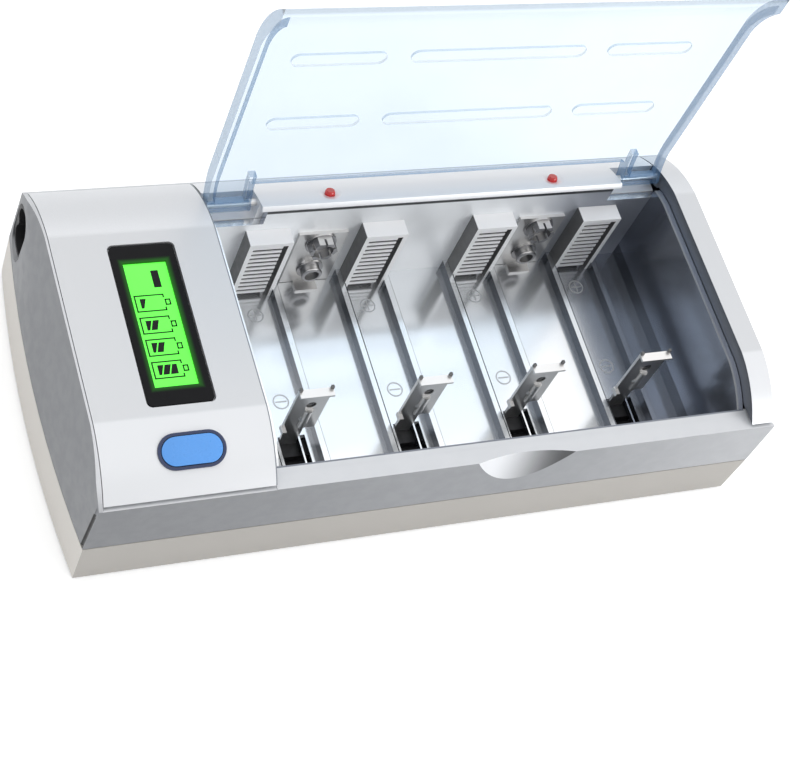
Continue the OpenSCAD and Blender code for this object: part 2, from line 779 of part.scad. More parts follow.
// Opening for the inlet in the shells
module inlet_opening() {
    fit = 0.2;
    reach = case_l / 2 + inlet_depth + 2 * inlet_back;
    translate([-case_l, inlet_y, inlet_z]) rotate([90, 0, 90]) linear_extrude(reach)
        rotate(90) stadium(inlet_l + 2 * inlet_wall + fit, inlet_w + 2 * inlet_wall + fit);
}

// Figure-of-eight outline of the inlet
module inlet_outline() {
    for (s = [-1, 1]) translate([s * (inlet_l - inlet_w) / 2, 0]) circle(d = inlet_w);
    square([inlet_l - inlet_w, inlet_w * 0.74], center = true);
}

// Pins of the inlet
module inlet_pins() {
    pin_l = 10;
    color([0.8, 0.78, 0.7]) lift() for (s = [-1, 1])
        translate([inlet_mouth + inlet_depth - pin_l, inlet_y, inlet_z + s * inlet_pitch / 2]) {
            rotate([0, 90, 0]) cylinder(d = inlet_pin_d, h = pin_l + 5);
            sphere(d = inlet_pin_d);
        }
}

// Four rubber feet
module rubber_feet() {
    color([0.12, 0.12, 0.13]) for (sx = [-1, 1], sy = [-1, 1])
        translate([sx * foot_x, sy * foot_y, 0]) cylinder(d = foot_d, h = foot_proud + foot_set);
}

// Screws that hold the shells together
module case_screws() {
    head_h = 1.4;
    color([0.6, 0.6, 0.62]) lift() for (p = concat(rear_screws, front_screws)) {
        long = p.y > 0;
        translate([p.x, p.y, base_floor - 0.4 - head_h]) difference() {
            union() {
                cylinder(d = screw_head_d, h = head_h);
                cylinder(d = screw_d, h = long ? parting_z + 6 : tub_bottom + tub_t - base_floor + 0.8);
            }
            for (a = [0, 90]) rotate(a) translate([-1.4, -0.3, -1]) cube([2.8, 0.6, 1.8]);
        }
    }
}

// Steel pin of a hinge
module hinge_pin(i) {
    x0 = i == 0 ? deck_left - pin_seat : ear_notch_x[1] - cover_gap - pin_seat;
    x1 = i == 0 ? ear_notch_x[0] + ear_notch_l + cover_gap + pin_seat : deck_right + pin_seat;
    color([0.75, 0.76, 0.78]) lift() translate([x0, hinge_y, hinge_z]) rotate([0, 90, 0])
        cylinder(d = pin_d, h = x1 - x0);
}

// Red indicator lamp in the rear bar
module indicator_led(i) {
    color([0.85, 0.08, 0.06]) lift() on_hump(bay_mid + (i - 0.5) * led_pitch) {
        translate([0, 0, -led_l]) cylinder(d = led_d, h = led_l);
        intersection() {
            sphere(d = led_d);
            translate([0, 0, -e]) cylinder(d = led_d, h = 0.9);
        }
    }
}

// Moulded block that holds the ribbed contact of a bay
module contact_block(i) {
    color([0.9, 0.91, 0.92]) lift() translate([bay_x[i], block_y, tub_floor]) difference() {
        translate([-block_w / 2, 0, rail_h]) cube([block_w, block_d, block_h - rail_h]);
        translate([-field_w / 2, -1, -1]) cube([field_w, 1 + field_d, field_h + 1]);
    }
    color([0.9, 0.91, 0.92]) lift() translate([bay_x[i] - channel_w / 2 + 0.1, block_y, tub_floor])
        difference() {
            cube([channel_w - 0.2, block_d, rail_h + e]);
            translate([channel_w / 2 - 0.1 - field_w / 2, -1, -1]) cube([field_w, 1 + field_d, rail_h + 3]);
        }
}

// Ribbed metal contact in the block
module contact_plate(i) {
    ribs_w = field_w - 1.2;
    rib_pitch = (field_h - 1.6) / rib_n;
    rib_d = field_d - 0.4;
    color([0.75, 0.76, 0.78]) lift() translate([bay_x[i] - field_w / 2, block_y + field_d, tub_floor]) {
        translate([0, -sheet_t, 1.2]) cube([ribs_w, sheet_t, field_h - 1.2]);
        for (k = [0 : rib_n - 1]) translate([0, -rib_d, 1.6 + (k + 0.2) * rib_pitch])
            cube([ribs_w, rib_d, rib_pitch * 0.52]);
    }
}

// Snap plate with the tab at its foot
module snap_plate(i) {
    color([0.72, 0.72, 0.72]) lift() translate([snap_x[i], tub_rear - 1, tub_floor]) {
        translate([-snap_w / 2, 0, 0.2]) cube([snap_w, 1, snap_h]);
        translate([-snap_w / 2 + 4, -3.6, 0]) cube([6.8, 4.6, sheet_t]);
    }
}

// Height of the snaps, which sit a pitch apart about the middle of a block cell
function snap_z(s) = tub_floor + 13.4 + s * snap_pitch / 2;

// Male snap: a hollow stud with a rolled rim
module snap_stud(i) {
    color([0.8, 0.8, 0.8]) lift() translate([snap_x[i], tub_rear - 1, snap_z(-1)]) rotate([90, 0, 0])
        rotate_extrude() {
            difference() {
                square([stud_d / 2, 3]);
                translate([0, 0.8]) square([stud_d / 2 - 0.7, 3]);
            }
            translate([stud_d / 2 - 0.2, 2.5]) circle(r = 0.5, $fn = 32);
            square([stud_d / 2 + 1.1, 0.6]);
        }
}

// Female snap: a crown of six petals round a bore
module snap_socket(i) {
    crown_at = [snap_x[i], tub_rear - 1, snap_z(1)];
    color([0.76, 0.76, 0.76]) lift() translate(crown_at) rotate([90, 0, 0]) difference() {
        union() {
            cylinder(d = socket_d, h = 3.4, $fn = 6);
            cylinder(d = socket_d + 0.6, h = 0.6);
        }
        translate([0, 0, 0.8]) cylinder(d = stud_d, h = 4);
        for (a = [0 : 60 : 120]) rotate(a + 30) translate([-socket_d, -0.35, 1.4]) cube([2 * socket_d, 0.7, 4]);
    }
}

// Ring of points round a spring's wire at one place along the coil
function coil_ring(a, r, rise, wire, sides) = [for (k = [0 : sides - 1]) let (t = 360 * k / sides)
    [(r + wire / 2 * cos(t)) * cos(a), rise + wire / 2 * sin(t), (r + wire / 2 * cos(t)) * sin(a)]];

// Extension spring from a carriage to its post
module slider_spring(i) {
    sides = 6;
    steps = 10;
    n = spring_turns * steps;
    r = (spring_d - spring_wire) / 2;
    span = spring_y1 - spring_y0;
    points = [for (k = [0 : n]) each coil_ring(360 * k / steps, r, span * k / n, spring_wire, sides)];
    sides_of = [for (k = [0 : n - 1], s = [0 : sides - 1]) let (u = (s + 1) % sides)
        each [[k * sides + s, k * sides + u, (k + 1) * sides + u],
            [k * sides + s, (k + 1) * sides + u, (k + 1) * sides + s]]];
    ends = [[for (s = [sides - 1 : -1 : 0]) s], [for (s = [0 : sides - 1]) n * sides + s]];
    color([0.7, 0.7, 0.72]) lift() translate([bay_x[i], spring_y0, spring_z])
        polyhedron(points, concat(sides_of, ends), convexity = 8);
}

// Sheet-metal contact of a slider: a flag on a leg that goes down through the slot
module slider_plate(i) {
    flange = 2.6;
    tip_h = 1.2;
    foot = [1.2, flange, 1.6];
    emboss_x = 0.5;
    emboss_r = 1.2;
    emboss_z = leg_top + 1.4;
    hole_d = 2.8;
    eyelet_d = 1.4;
    dimple_r = 1.5;
    leg_foot = carriage_z1 - tub_floor;
    color([0.72, 0.72, 0.73]) lift() translate([bay_x[i], slider_y, tub_floor]) difference() {
        union() {
            translate([-plate_w / 2, -sheet_t, leg_top]) cube([plate_w, sheet_t, plate_h - leg_top]);
            translate([leg_x0, -sheet_t, leg_foot]) cube([leg_w, sheet_t, leg_top - leg_foot + e]);
            // Flange along the top with a turned-up tip at each end
            translate([-plate_w / 2, -flange, plate_h - sheet_t]) cube([plate_w, flange, sheet_t]);
            for (x = [-plate_w / 2, plate_w / 2 - sheet_t]) translate([x, -sheet_t, plate_h - e])
                cube([sheet_t, sheet_t, tip_h]);
            // Half-round emboss, foot at the left and contact dimple
            translate([emboss_x, -sheet_t, emboss_z]) cylinder(r = emboss_r, h = plate_h * 0.34);
            translate([-plate_w / 2 - foot.x / 3, -flange, leg_top]) cube(foot);
            translate([0, dimple_r / 2 - sheet_t, plate_h * 0.44]) sphere(r = dimple_r);
        }
        translate([emboss_x, flange, plate_h * 0.72]) rotate([90, 0, 0]) cylinder(d = hole_d, h = 2 * flange);
        translate([2 * emboss_x, flange, leg_top + eyelet_d]) rotate([90, 0, 0])
            cylinder(d = eyelet_d, h = 2 * flange);
    }
}

// Carriage that carries a slider plate under the tub's floor
module slider_carriage(i) {
    color([0.1, 0.1, 0.11]) lift() translate([bay_x[i], slider_y, 0])
        translate([-carriage_w / 2, -carriage_l, carriage_z0])
            cube([carriage_w, carriage_l, carriage_z1 - carriage_z0]);
}

// Clear lid, drawn closed
module lid_closed() {
    difference() {
        union() {
            // Plate and side walls, from the front bar to the rear bar
            along_x(lid_x0, lid_x1) intersection() {
                profile_band(0, lid_t);
                translate([front_y, bar_z + 0.3]) square([hinge_y - front_y, case_h]);
            }
            for (x = [lid_x0, lid_x1 - lid_t]) along_x(x, x + lid_t) intersection() {
                profile_band(0, lid_rim);
                translate([front_y, bar_z + 0.3]) square([hinge_y - front_y, case_h]);
            }
            // Hinge ears with a web at their inner side
            for (i = [0, 1]) {
                translate([ear_x[i], hinge_y, hinge_z]) rotate([0, 90, 0])
                    cylinder(r = knuckle_r, h = ear_l);
                web_x = i == 0 ? ear_x[i] + ear_l - lid_t : ear_x[i];
                along_x(web_x, web_x + lid_t) intersection() {
                    profile_band(0, lid_rim);
                    translate([hinge_y - 11, 0]) square([11, case_h]);
                }
            }
            // Raised ribs
            for (row = lid_rib_rows, col = lid_rib_cols)
                translate([bay_mid + col[0], row, case_h - e]) linear_extrude(lid_rib_h + e)
                    stadium(col[1], lid_rib_w);
        }
        // Rear edge between the ears, clear of the rear bar's lip
        along_x(ear_x[0] + ear_l, ear_x[1]) {
            translate([hinge_y, hinge_z]) circle(r = lid_back_r);
            translate([hinge_y - lid_back_r, 0]) square([lid_back_r + beyond, hinge_z]);
            translate([hinge_y, 0]) square([beyond, case_h]);
        }
        translate([lid_x0 - 1, hinge_y, hinge_z]) rotate([0, 90, 0])
            cylinder(d = pin_d + 2 * pin_fit, h = lid_x1 - lid_x0 + 2);
    }
}

// Lid as it stands open on its hinge
module lid() {
    color([0.75, 0.88, 1, 0.5]) lift() translate([0, hinge_y, hinge_z]) rotate([-lid_open, 0, 0])
        translate([0, -hinge_y, -hinge_z]) lid_closed();
}

base_case();
insulating_film();
upper_housing();
battery_tub();
display_panel();
right_trim();
rear_bar();
lcd_window();
lcd_module();
button_rim();
tact_switch();
display_board();
main_board();
transformer();
board_components();
power_inlet();
inlet_pins();
rubber_feet();
case_screws();
hinge_pin(0);  // hinge_pin_left
hinge_pin(1);  // hinge_pin_right
lid();
button();
for (i = [0 : 1]) {
    indicator_led(i);
    snap_plate(i);
    snap_stud(i);
    snap_socket(i);
}
for (i = [0 : 3]) {
    contact_block(i);
    contact_plate(i);
    slider_spring(i);
    slider_plate(i);
    slider_carriage(i);
}
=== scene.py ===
"""Looks of the battery charger: finishes of its CAD parts, display symbols, marks and stage."""

import math

import bmesh
import bpy
from mathutils import Euler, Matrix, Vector


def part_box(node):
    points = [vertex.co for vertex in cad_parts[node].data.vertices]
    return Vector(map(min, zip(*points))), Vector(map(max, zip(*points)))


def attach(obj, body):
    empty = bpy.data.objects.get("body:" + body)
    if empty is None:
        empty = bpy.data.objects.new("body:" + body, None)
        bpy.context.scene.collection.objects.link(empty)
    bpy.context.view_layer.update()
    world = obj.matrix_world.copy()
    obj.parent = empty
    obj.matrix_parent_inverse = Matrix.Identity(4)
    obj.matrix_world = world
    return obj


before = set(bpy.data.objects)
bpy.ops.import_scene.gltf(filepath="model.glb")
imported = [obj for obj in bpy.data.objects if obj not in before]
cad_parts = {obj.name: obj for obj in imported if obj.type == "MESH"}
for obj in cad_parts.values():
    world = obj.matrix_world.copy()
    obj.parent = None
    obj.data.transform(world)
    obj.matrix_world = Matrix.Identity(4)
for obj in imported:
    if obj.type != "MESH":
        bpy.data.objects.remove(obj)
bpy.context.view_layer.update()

bl_info = {
    "name": "Battery charger looks",
    "version": (1, 0, 0),
    "blender": (4, 5, 0),
    "location": "View3D > Sidebar > Charger",
    "description": "Finishes, display symbols, bay marks and stage for a packed battery charger",
    "category": "Object",
}

MM = 0.001
BAYS = (1, 2, 3, 4)
PAIR = (1, 2)

# limits between which a noise is spread out
CLOUD, CLOUD_CORE = (0.3, 0.7), (0.35, 0.65)
# limits between which a direction counts as turned against its axis
TURNED_AWAY = (-0.5, -0.9)
BLACK, WHITE = (0, 0, 0, 1), (1, 1, 1, 1)


def numbered(name, numbers):
    """Names of the like parts that carry a number."""
    return [f"{name}_{i}" for i in numbers]


def toned(tint, share=1.0):
    """A colour for a socket, lightened or darkened by a share."""
    return (*[c * share for c in tint], 1)


class Wire:
    """A socket of a node tree. Python operators on it add Math nodes."""

    def __init__(self, tree, socket=None):
        self.tree = tree
        self.socket = socket

    def feed(self, target, value):
        """Links a wire to an input socket, or sets a plain value on it."""
        if isinstance(value, Wire):
            self.tree.links.new(value.socket, target)
        else:
            target.default_value = value

    def add(self, kind, settings=None, sockets=None, out=0):
        """Adds a node: its settings first, then the values or links of its sockets."""
        node = self.tree.nodes.new(kind)
        for key, value in (settings or {}).items():
            setattr(node, key, value)
        for key, value in (sockets or {}).items():
            self.feed(node.inputs[key], value)
        return Wire(self.tree, node.outputs[out])

    def math(self, operation, a, b=0.0):
        """Adds a Math node."""
        return self.add("ShaderNodeMath", {"operation": operation}, {0: a, 1: b})

    def __add__(self, other):
        return self.math("ADD", self, other)

    __radd__ = __add__

    def __sub__(self, other):
        return self.math("SUBTRACT", self, other)

    def __rsub__(self, other):
        return self.math("SUBTRACT", other, self)

    def __mul__(self, other):
        return self.math("MULTIPLY", self, other)

    __rmul__ = __mul__

    def __gt__(self, other):
        return self.math("GREATER_THAN", self, other)

    def __lt__(self, other):
        return self.math("LESS_THAN", self, other)

    def __abs__(self):
        return self.math("ABSOLUTE", self)

    def least(self, other):
        """The smaller of two values."""
        return self.math("MINIMUM", self, other)

    def most(self, other):
        """The larger of two values."""
        return self.math("MAXIMUM", self, other)

    def ramp(self, low, high, start=0.0, end=1.0):
        """Goes smoothly from start to end as this value goes from low to high."""
        return self.add(
            "ShaderNodeMapRange",
            {"interpolation_type": "SMOOTHSTEP"},
            {"Value": self, "From Min": low, "From Max": high, "To Min": start, "To Max": end},
        )

    def mix(self, a, b):
        """Colour a where this value is 0, and colour b where it is 1."""
        return self.add("ShaderNodeMix", {"data_type": "RGBA"}, {0: self, 6: a, 7: b}, 2)

    def axes(self):
        """X, Y and Z of a vector."""
        split = self.add("ShaderNodeSeparateXYZ", sockets={"Vector": self})
        return [Wire(self.tree, s) for s in split.socket.node.outputs]


class Finish(Wire):
    """A material whose shader is fed by wires."""

    def __init__(self, name, **constants):
        self.material = bpy.data.materials.new(name)
        self.material.use_nodes = True
        super().__init__(self.material.node_tree)
        self.shader = self.tree.nodes["Principled BSDF"]
        self.set(**constants)

    def set(self, **values):
        """Sets the shader's sockets: base_color stands for Base Color, and so on."""
        for key, value in values.items():
            self.feed(self.shader.inputs[SOCKETS[key]], value)

    def place(self):
        """Place on the part, in metres, as it was modelled."""
        return self.add("ShaderNodeTexCoord", out="Object")

    def facing(self):
        """Direction that the part's surface faces, as it was modelled."""
        return self.add("ShaderNodeTexCoord", out="Normal")

    def near(self, point, reach):
        """1 at a point, and 0 from a given distance on."""
        away = self.add(
            "ShaderNodeVectorMath", {"operation": "DISTANCE"}, {0: self.place(), 1: point}, "Value"
        )
        return away.ramp(reach, 0.0)

    def stretched(self, scale):
        """Place on the part, stretched along its axes."""
        return self.add(
            "ShaderNodeVectorMath", {"operation": "MULTIPLY"}, {0: self.place(), 1: scale}
        )

    def noise(self, scale, detail=3.0, vector=None):
        """Cloudy values from 0 to 1."""
        return self.add(
            "ShaderNodeTexNoise",
            sockets={"Vector": vector or self.place(), "Scale": scale, "Detail": detail},
        )

    def wavering(self, scale, low, high):
        """Values that waver between two limits."""
        return self.noise(scale).ramp(*CLOUD, low, high)

    def mottled(self, scale, tint, share):
        """A colour that wavers between itself and a share of it."""
        return self.noise(scale).mix(toned(tint), toned(tint, share))

    def see_through(self, tint, body):
        """Lets light pass with a tint, apart from a share that the shader keeps."""
        clear = self.add("ShaderNodeBsdfTransparent", sockets={"Color": toned(tint)})
        solid = Wire(self.tree, self.shader.outputs["BSDF"])
        both = self.add("ShaderNodeMixShader", sockets={0: body, 1: clear, 2: solid})
        self.feed(self.tree.nodes["Material Output"].inputs["Surface"], both)

    def bump(self, height, strength, distance):
        """Small relief on the surface."""
        self.set(
            normal=self.add(
                "ShaderNodeBump",
                sockets={"Height": height, "Strength": strength, "Distance": distance},
            )
        )


SOCKETS = {
    "base_color": "Base Color",
    "metallic": "Metallic",
    "roughness": "Roughness",
    "ior": "IOR",
    "normal": "Normal",
    "coat_weight": "Coat Weight",
    "coat_roughness": "Coat Roughness",
    "specular": "Specular IOR Level",
    "emission_color": "Emission Color",
    "emission_strength": "Emission Strength",
}


def dress(names, finish):
    """Gives CAD parts a finish."""
    for name in names:
        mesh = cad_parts[name].data
        mesh.materials.clear()
        mesh.materials.append(finish.material)


WELD_REACH, SHARP_ANGLE = 0.001 * MM, math.radians(40)


def soften(names, width):
    """Rounds the sharp edges of CAD parts a little, as moulding or stamping does."""
    for name in names:
        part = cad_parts[name]
        part.modifiers.new("Weld", "WELD").merge_threshold = WELD_REACH
        bevel = part.modifiers.new("Soft edges", "BEVEL")
        bevel.width = width
        bevel.segments = 2
        bevel.limit_method = "ANGLE"
        bevel.angle_limit = SHARP_ANGLE


def add_piece(name, build, finish, body="case"):
    """Makes a piece from mesh code, which rides on a body."""
    mesh = bpy.data.meshes.new(name)
    bm = bmesh.new()
    build(bm)
    bmesh.ops.recalc_face_normals(bm, faces=bm.faces)
    bm.to_mesh(mesh)
    bm.free()
    mesh.materials.append(finish.material)
    piece = bpy.data.objects.new(name, mesh)
    bpy.context.scene.collection.objects.link(piece)
    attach(piece, body)


def slab(bm, outline, z0, z1):
    """Adds an upright slab with the given outline."""
    low = [bm.verts.new((x, y, z0)) for x, y in outline]
    high = [bm.verts.new((x, y, z1)) for x, y in outline]
    bm.faces.new(low[::-1])
    bm.faces.new(high)
    for i in range(len(outline)):
        j = (i + 1) % len(outline)
        bm.faces.new((low[i], low[j], high[j], high[i]))


def bar(bm, x0, x1, y0, y1, z0, z1):
    """Adds a rectangular bar."""
    slab(bm, [(x0, y0), (x1, y0), (x1, y1), (x0, y1)], z0, z1)


def ring(bm, x, y, outer, inner, z0, z1, sides=48):
    """Adds a flat ring."""
    turns = [2 * math.pi * k / sides for k in range(sides)]
    loops = [
        [bm.verts.new((x + r * math.cos(a), y + r * math.sin(a), z)) for a in turns]
        for r, z in ((inner, z0), (outer, z0), (outer, z1), (inner, z1))
    ]
    for k in range(sides):
        n = (k + 1) % sides
        for a, b in zip(loops, loops[1:] + loops[:1]):
            bm.faces.new((a[k], a[n], b[n], b[k]))


def turned(bm, centre, radius, half, sides=24):
    """Adds a turned rivet along Y, with the same head at both ends."""
    ends = []
    for side in (-1, 1):
        rings = [[bm.verts.new(centre + Vector((0, side * half * RIVET_PROFILE[0][1], 0)))]]
        for r, rise in RIVET_PROFILE[1:]:
            rings.append([
                bm.verts.new(centre + Vector((
                    radius * r * math.cos(2 * math.pi * k / sides),
                    side * half * rise,
                    radius * r * math.sin(2 * math.pi * k / sides),
                )))
                for k in range(sides)
            ])
        for k in range(sides):
            n = (k + 1) % sides
            bm.faces.new((rings[0][0], rings[1][k], rings[1][n]))
            for a, b in zip(rings[1:], rings[2:]):
                bm.faces.new((a[k], b[k], b[n], a[n]))
        ends.append(rings[-1])
    for k in range(sides):
        n = (k + 1) % sides
        bm.faces.new((ends[0][k], ends[1][k], ends[1][n], ends[0][n]))


def colour(name, what, value):
    """A colour that a user may change."""
    return bpy.props.FloatVectorProperty(
        name=name, description=what, default=value, size=3, subtype="COLOR", min=0.0, max=1.0
    )


def length(name, what, value):
    """A size that a user may change, in metres."""
    return bpy.props.FloatProperty(
        name=name, description=what, default=value, subtype="DISTANCE", unit="LENGTH", precision=5
    )


class ChargerColours(bpy.types.PropertyGroup):
    """Colours of the charger's finishes."""

    base: colour("Base", "Lower shell", (0.53, 0.505, 0.47))
    shell: colour("Shell", "Upper shell", (0.33, 0.34, 0.36))
    # Painted light: a lighter copy of the shell's grey for its upward faces, its right end and the
    # notch
    shell_painted_light: colour("Shell top", "Upward faces of the upper shell", (0.62, 0.63, 0.65))
    cover: colour("Covers", "Display panel, trim and rear bar", (0.74, 0.75, 0.77))
    tub: colour("Tub", "Bright coat of the battery tub", (0.85, 0.87, 0.89))
    # Painted shade: a darker copy of the tub's coat for its shaded walls, also used for painted
    # shadow lines on the shell and covers
    tub_wall_shade: colour("Tub walls", "Shaded walls of the battery tub", (0.40, 0.43, 0.50))
    # Also painted light: the upward faces of the sliders, springs, snap plates and snaps get this
    # paler colour
    metal: colour("Plating", "Pins, screws and upward faces of the contacts", (0.74, 0.73, 0.72))
    slider: colour("Sliders", "Slider plates, springs and snap plates", (0.52, 0.52, 0.52))
    rivet: colour("Rivets", "Rivets and tips of the slider plates", (0.12, 0.12, 0.12))
    snap: colour("Snaps", "Studs and sockets of the snap terminals", (0.27, 0.27, 0.28))
    block: colour("Blocks", "Contact blocks and the ribs of their leaves", (0.93, 0.93, 0.94))
    lid: colour("Lid", "Clear lid", (0.90, 0.945, 0.985))
    # Painted shade for the lid's edge faces
    lid_edge_shade: colour("Lid edges", "Lid where it is seen edge on", (0.22, 0.36, 0.55))
    window: colour("Window", "Display window", (0.006, 0.006, 0.007))
    light: colour("Display light", "Lit display", (0.10, 0.95, 0.05))
    button: colour("Button", "Push button", (0.09, 0.36, 0.90))
    rim: colour("Rim", "Rim round the button", (0.004, 0.02, 0.09))
    lamp: colour("Lamps", "Indicator lamps", (0.50, 0.008, 0.008))
    # Painted glow that the lamps cast on the cover
    glow: colour("Lamp glow", "Cover close to a lamp", (0.80, 0.42, 0.40))
    black: colour("Black plastic", "Inlet, carriages and inner parts", (0.018, 0.018, 0.02))
    board: colour("Boards", "Circuit boards", (0.03, 0.16, 0.07))
    rubber: colour("Feet", "Rubber feet", (0.03, 0.03, 0.032))


class ChargerMarks(bpy.types.PropertyGroup):
    """Sizes of the marks and symbols."""

    mark_radius: length("Mark radius", "Radius of a polarity mark", 2.4 * MM)
    mark_line: length("Mark line", "Line width of a polarity mark", 0.4 * MM)
    mark_relief: length("Mark relief", "How far a polarity mark stands out", 0.08 * MM)
    plus_gap: length("Plus gap", "From a fixed contact to its mark", 6.2 * MM)
    minus_gap: length("Minus gap", "From a slider to its mark", 9.9 * MM)
    symbol_line: length("Symbol line", "Line width of a display symbol", 0.36 * MM)
    symbol_relief: length("Symbol relief", "Thickness of a display symbol", 0.06 * MM)


class ChargerStage(bpy.types.PropertyGroup):
    """Camera and floor."""

    camera_at: bpy.props.FloatVectorProperty(
        name="Camera", description="Place of the camera", subtype="TRANSLATION", unit="LENGTH",
        default=(-0.21245, -0.2434, 0.451),
    )
    camera_turn: bpy.props.FloatVectorProperty(
        name="Camera turn", description="Turn of the camera", subtype="EULER",
        default=[math.radians(a) for a in (31.907, -17.225, -17.113)],
    )
    camera_lens: bpy.props.FloatProperty(
        name="Lens", description="Focal length on a 36 mm frame", subtype="DISTANCE_CAMERA",
        default=85.19,
    )
    floor: colour("Floor", "Pale floor", (0.86, 0.86, 0.86))


# thumb notch, which gets painted light and shade: half width, depth from the front, and the limits
# of how its face is turned
NOTCH_HALF, NOTCH_REACH = 15.5 * MM, 3 * MM
NOTCH_LOW, NOTCH_HIGH, NOTCH_SIDES = 0.06, 0.45, (0.16, -0.2)
# inner edge of the front bar, along which a painted shadow line runs, and the painted shade lines
# down the front corners
BAR_DEPTH, BAR_SEAM = 6.4 * MM, 0.5 * MM
CORNER_WIDE, CORNER_IN, CORNER_HALF = 5 * MM, 1 * MM, 0.7 * MM
# facing limits of the painted light on the shell's upward faces and on the base's end faces
SHELL_UP, BASE_END = (0.55, 0.85), (0.4, 0.8)
# share of the half length at which the shell has its plain grey, between the painted shade towards
# the left and the painted light towards the right
PLAIN_GREY = 0.2
# shares of a colour: in clouds, painted light at the base's ends, painted shade at the shell's left
# and on its left end faces, painted light and shade on the notch, and painted shade on the seam and
# in the corners
BASE_CLOUD, BASE_END_LIGHT, SHELL_CLOUD, LEFT_SHADE, END_SHADE = 0.93, 1.7, 0.9, 0.45, 0.72
NOTCH_LIGHT, NOTCH_SHADE, SEAM_SHADOW, CORNER_SHADE = 1.4, 0.2, 0.5, 0.05
# strength of the painted shade at the left and of the painted light at the right of the shell
LEFT_SHADE_SHARE, RIGHT_LIGHT_SHARE = 0.55, 0.5
GRAIN = 0.1 * MM


class CHARGER_OT_shells(bpy.types.Operator):
    """Finishes the two moulded shells and the feet"""

    bl_idname = "charger.shells"
    bl_label = "Shells"

    def execute(self, context):
        colours = context.scene.charger_colours
        base = Finish("warm white shell", roughness=0.5, specular=0.4)
        cream = base.mottled(60.0, colours.base, BASE_CLOUD)
        # Painted light: the base's end faces get a lighter copy of its cream
        end = abs(base.facing().axes()[0]).ramp(*BASE_END)
        base.set(base_color=end.mix(cream, toned(colours.base, BASE_END_LIGHT)))
        base.bump(base.noise(2600.0, 2.0), 0.12, GRAIN)
        dress(["base_case"], base)
        shell = Finish("satin grey shell", specular=0.5, metallic=0.35)
        low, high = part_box("upper_housing")
        panel_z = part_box("display_panel")[0].z
        x, y, z = shell.place().axes()
        turn_x, _, turn_z = shell.facing().axes()
        # Painted light: upward faces of the shell get a lighter copy of its grey
        lit_top = turn_z.ramp(*SHELL_UP)
        grey = shell.mottled(45.0, colours.shell, SHELL_CLOUD)
        # Painted shade and light: the grey darkens towards the left end and lightens towards the
        # right end
        plain_x = high.x * PLAIN_GREY
        left = x.ramp(low.x, plain_x, LEFT_SHADE_SHARE, 0.0)
        right = x.ramp(plain_x, high.x, 0.0, RIGHT_LIGHT_SHARE)
        body = left.mix(grey, toned(colours.shell, LEFT_SHADE))
        body = right.mix(body, toned(colours.shell_painted_light))
        # Painted shade on the shell's faces turned to the left
        body = turn_x.ramp(*TURNED_AWAY).mix(body, toned(colours.shell, END_SHADE))
        tub_low, tub_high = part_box("battery_tub")
        middle = (tub_low.x + tub_high.x) / 2
        scoop = (turn_z > NOTCH_LOW).least(NOTCH_HIGH > turn_z)
        scoop = scoop.least(low.y + NOTCH_REACH > y).least(NOTCH_HALF > abs(x - middle))
        # Painted light and shade in the thumb notch: lighter where its face turns right, darker
        # where it turns left
        scoop_light_and_shade = turn_x.ramp(*NOTCH_SIDES).mix(
            toned(colours.shell_painted_light, NOTCH_LIGHT), toned(colours.shell, NOTCH_SHADE)
        )
        body = scoop.mix(body, scoop_light_and_shade)
        # Painted shade lines in the shallow grooves down the front corners
        corner = CORNER_HALF > abs(y - low.y - CORNER_IN)
        corner = corner.least(abs(x) > high.x - CORNER_WIDE).least(panel_z > z)
        tone = lit_top.mix(body, toned(colours.shell_painted_light))
        # Painted shadow line where the front bar meets the tub
        seam = lit_top.least(BAR_SEAM / 2 > abs(y - low.y - BAR_DEPTH))
        seam = seam.least((tub_high.x - tub_low.x) / 2 > abs(x - middle))
        tone = seam.mix(tone, toned(colours.tub_wall_shade, SEAM_SHADOW))
        shell.set(
            base_color=corner.mix(tone, toned(colours.shell, CORNER_SHADE)),
            roughness=shell.wavering(300.0, 0.36, 0.46),
        )
        shell.bump(shell.noise(3200.0, 2.0), 0.06, GRAIN)
        dress(["upper_housing"], shell)
        rubber = Finish("foot rubber", base_color=toned(colours.rubber))
        rubber.set(roughness=rubber.wavering(400.0, 0.75, 0.95))
        rubber.bump(rubber.noise(1800.0), 0.3, GRAIN)
        dress(["rubber_feet"], rubber)
        return {"FINISHED"}


# creases of the covers, along Y
CREASE_FRONT, CREASE_REAR, CREASE_BLEND = -28.75 * MM, 27.05 * MM, 0.8 * MM
# reach of the painted glow round a lamp, half width of the painted shadow line at the panel's
# joint, and slack of the painted shade inside the trim
PAINTED_GLOW_REACH, JOINT_HALF, TRIM_SLACK = 3.2 * MM, 0.3 * MM, 1 * MM
# shares of a colour: in clouds and flecks, painted shade between the creases, painted highlight on
# the rear bar's lip, painted shadow at the joint beside the panel, painted shade inside the trim,
# and the strength of the painted shade from the front crease to the rear one
COVER_CLOUD, COVER_FLECK, FLAT_SHADE, LIP_HIGHLIGHT = 0.94, 1.04, 0.82, 1.1
JOINT_SHADOW, INNER_SHADE, FLAT_SHADE_FADE = 0.5, 0.28, (0.78, 0.92)
FLECK = 0.05 * MM


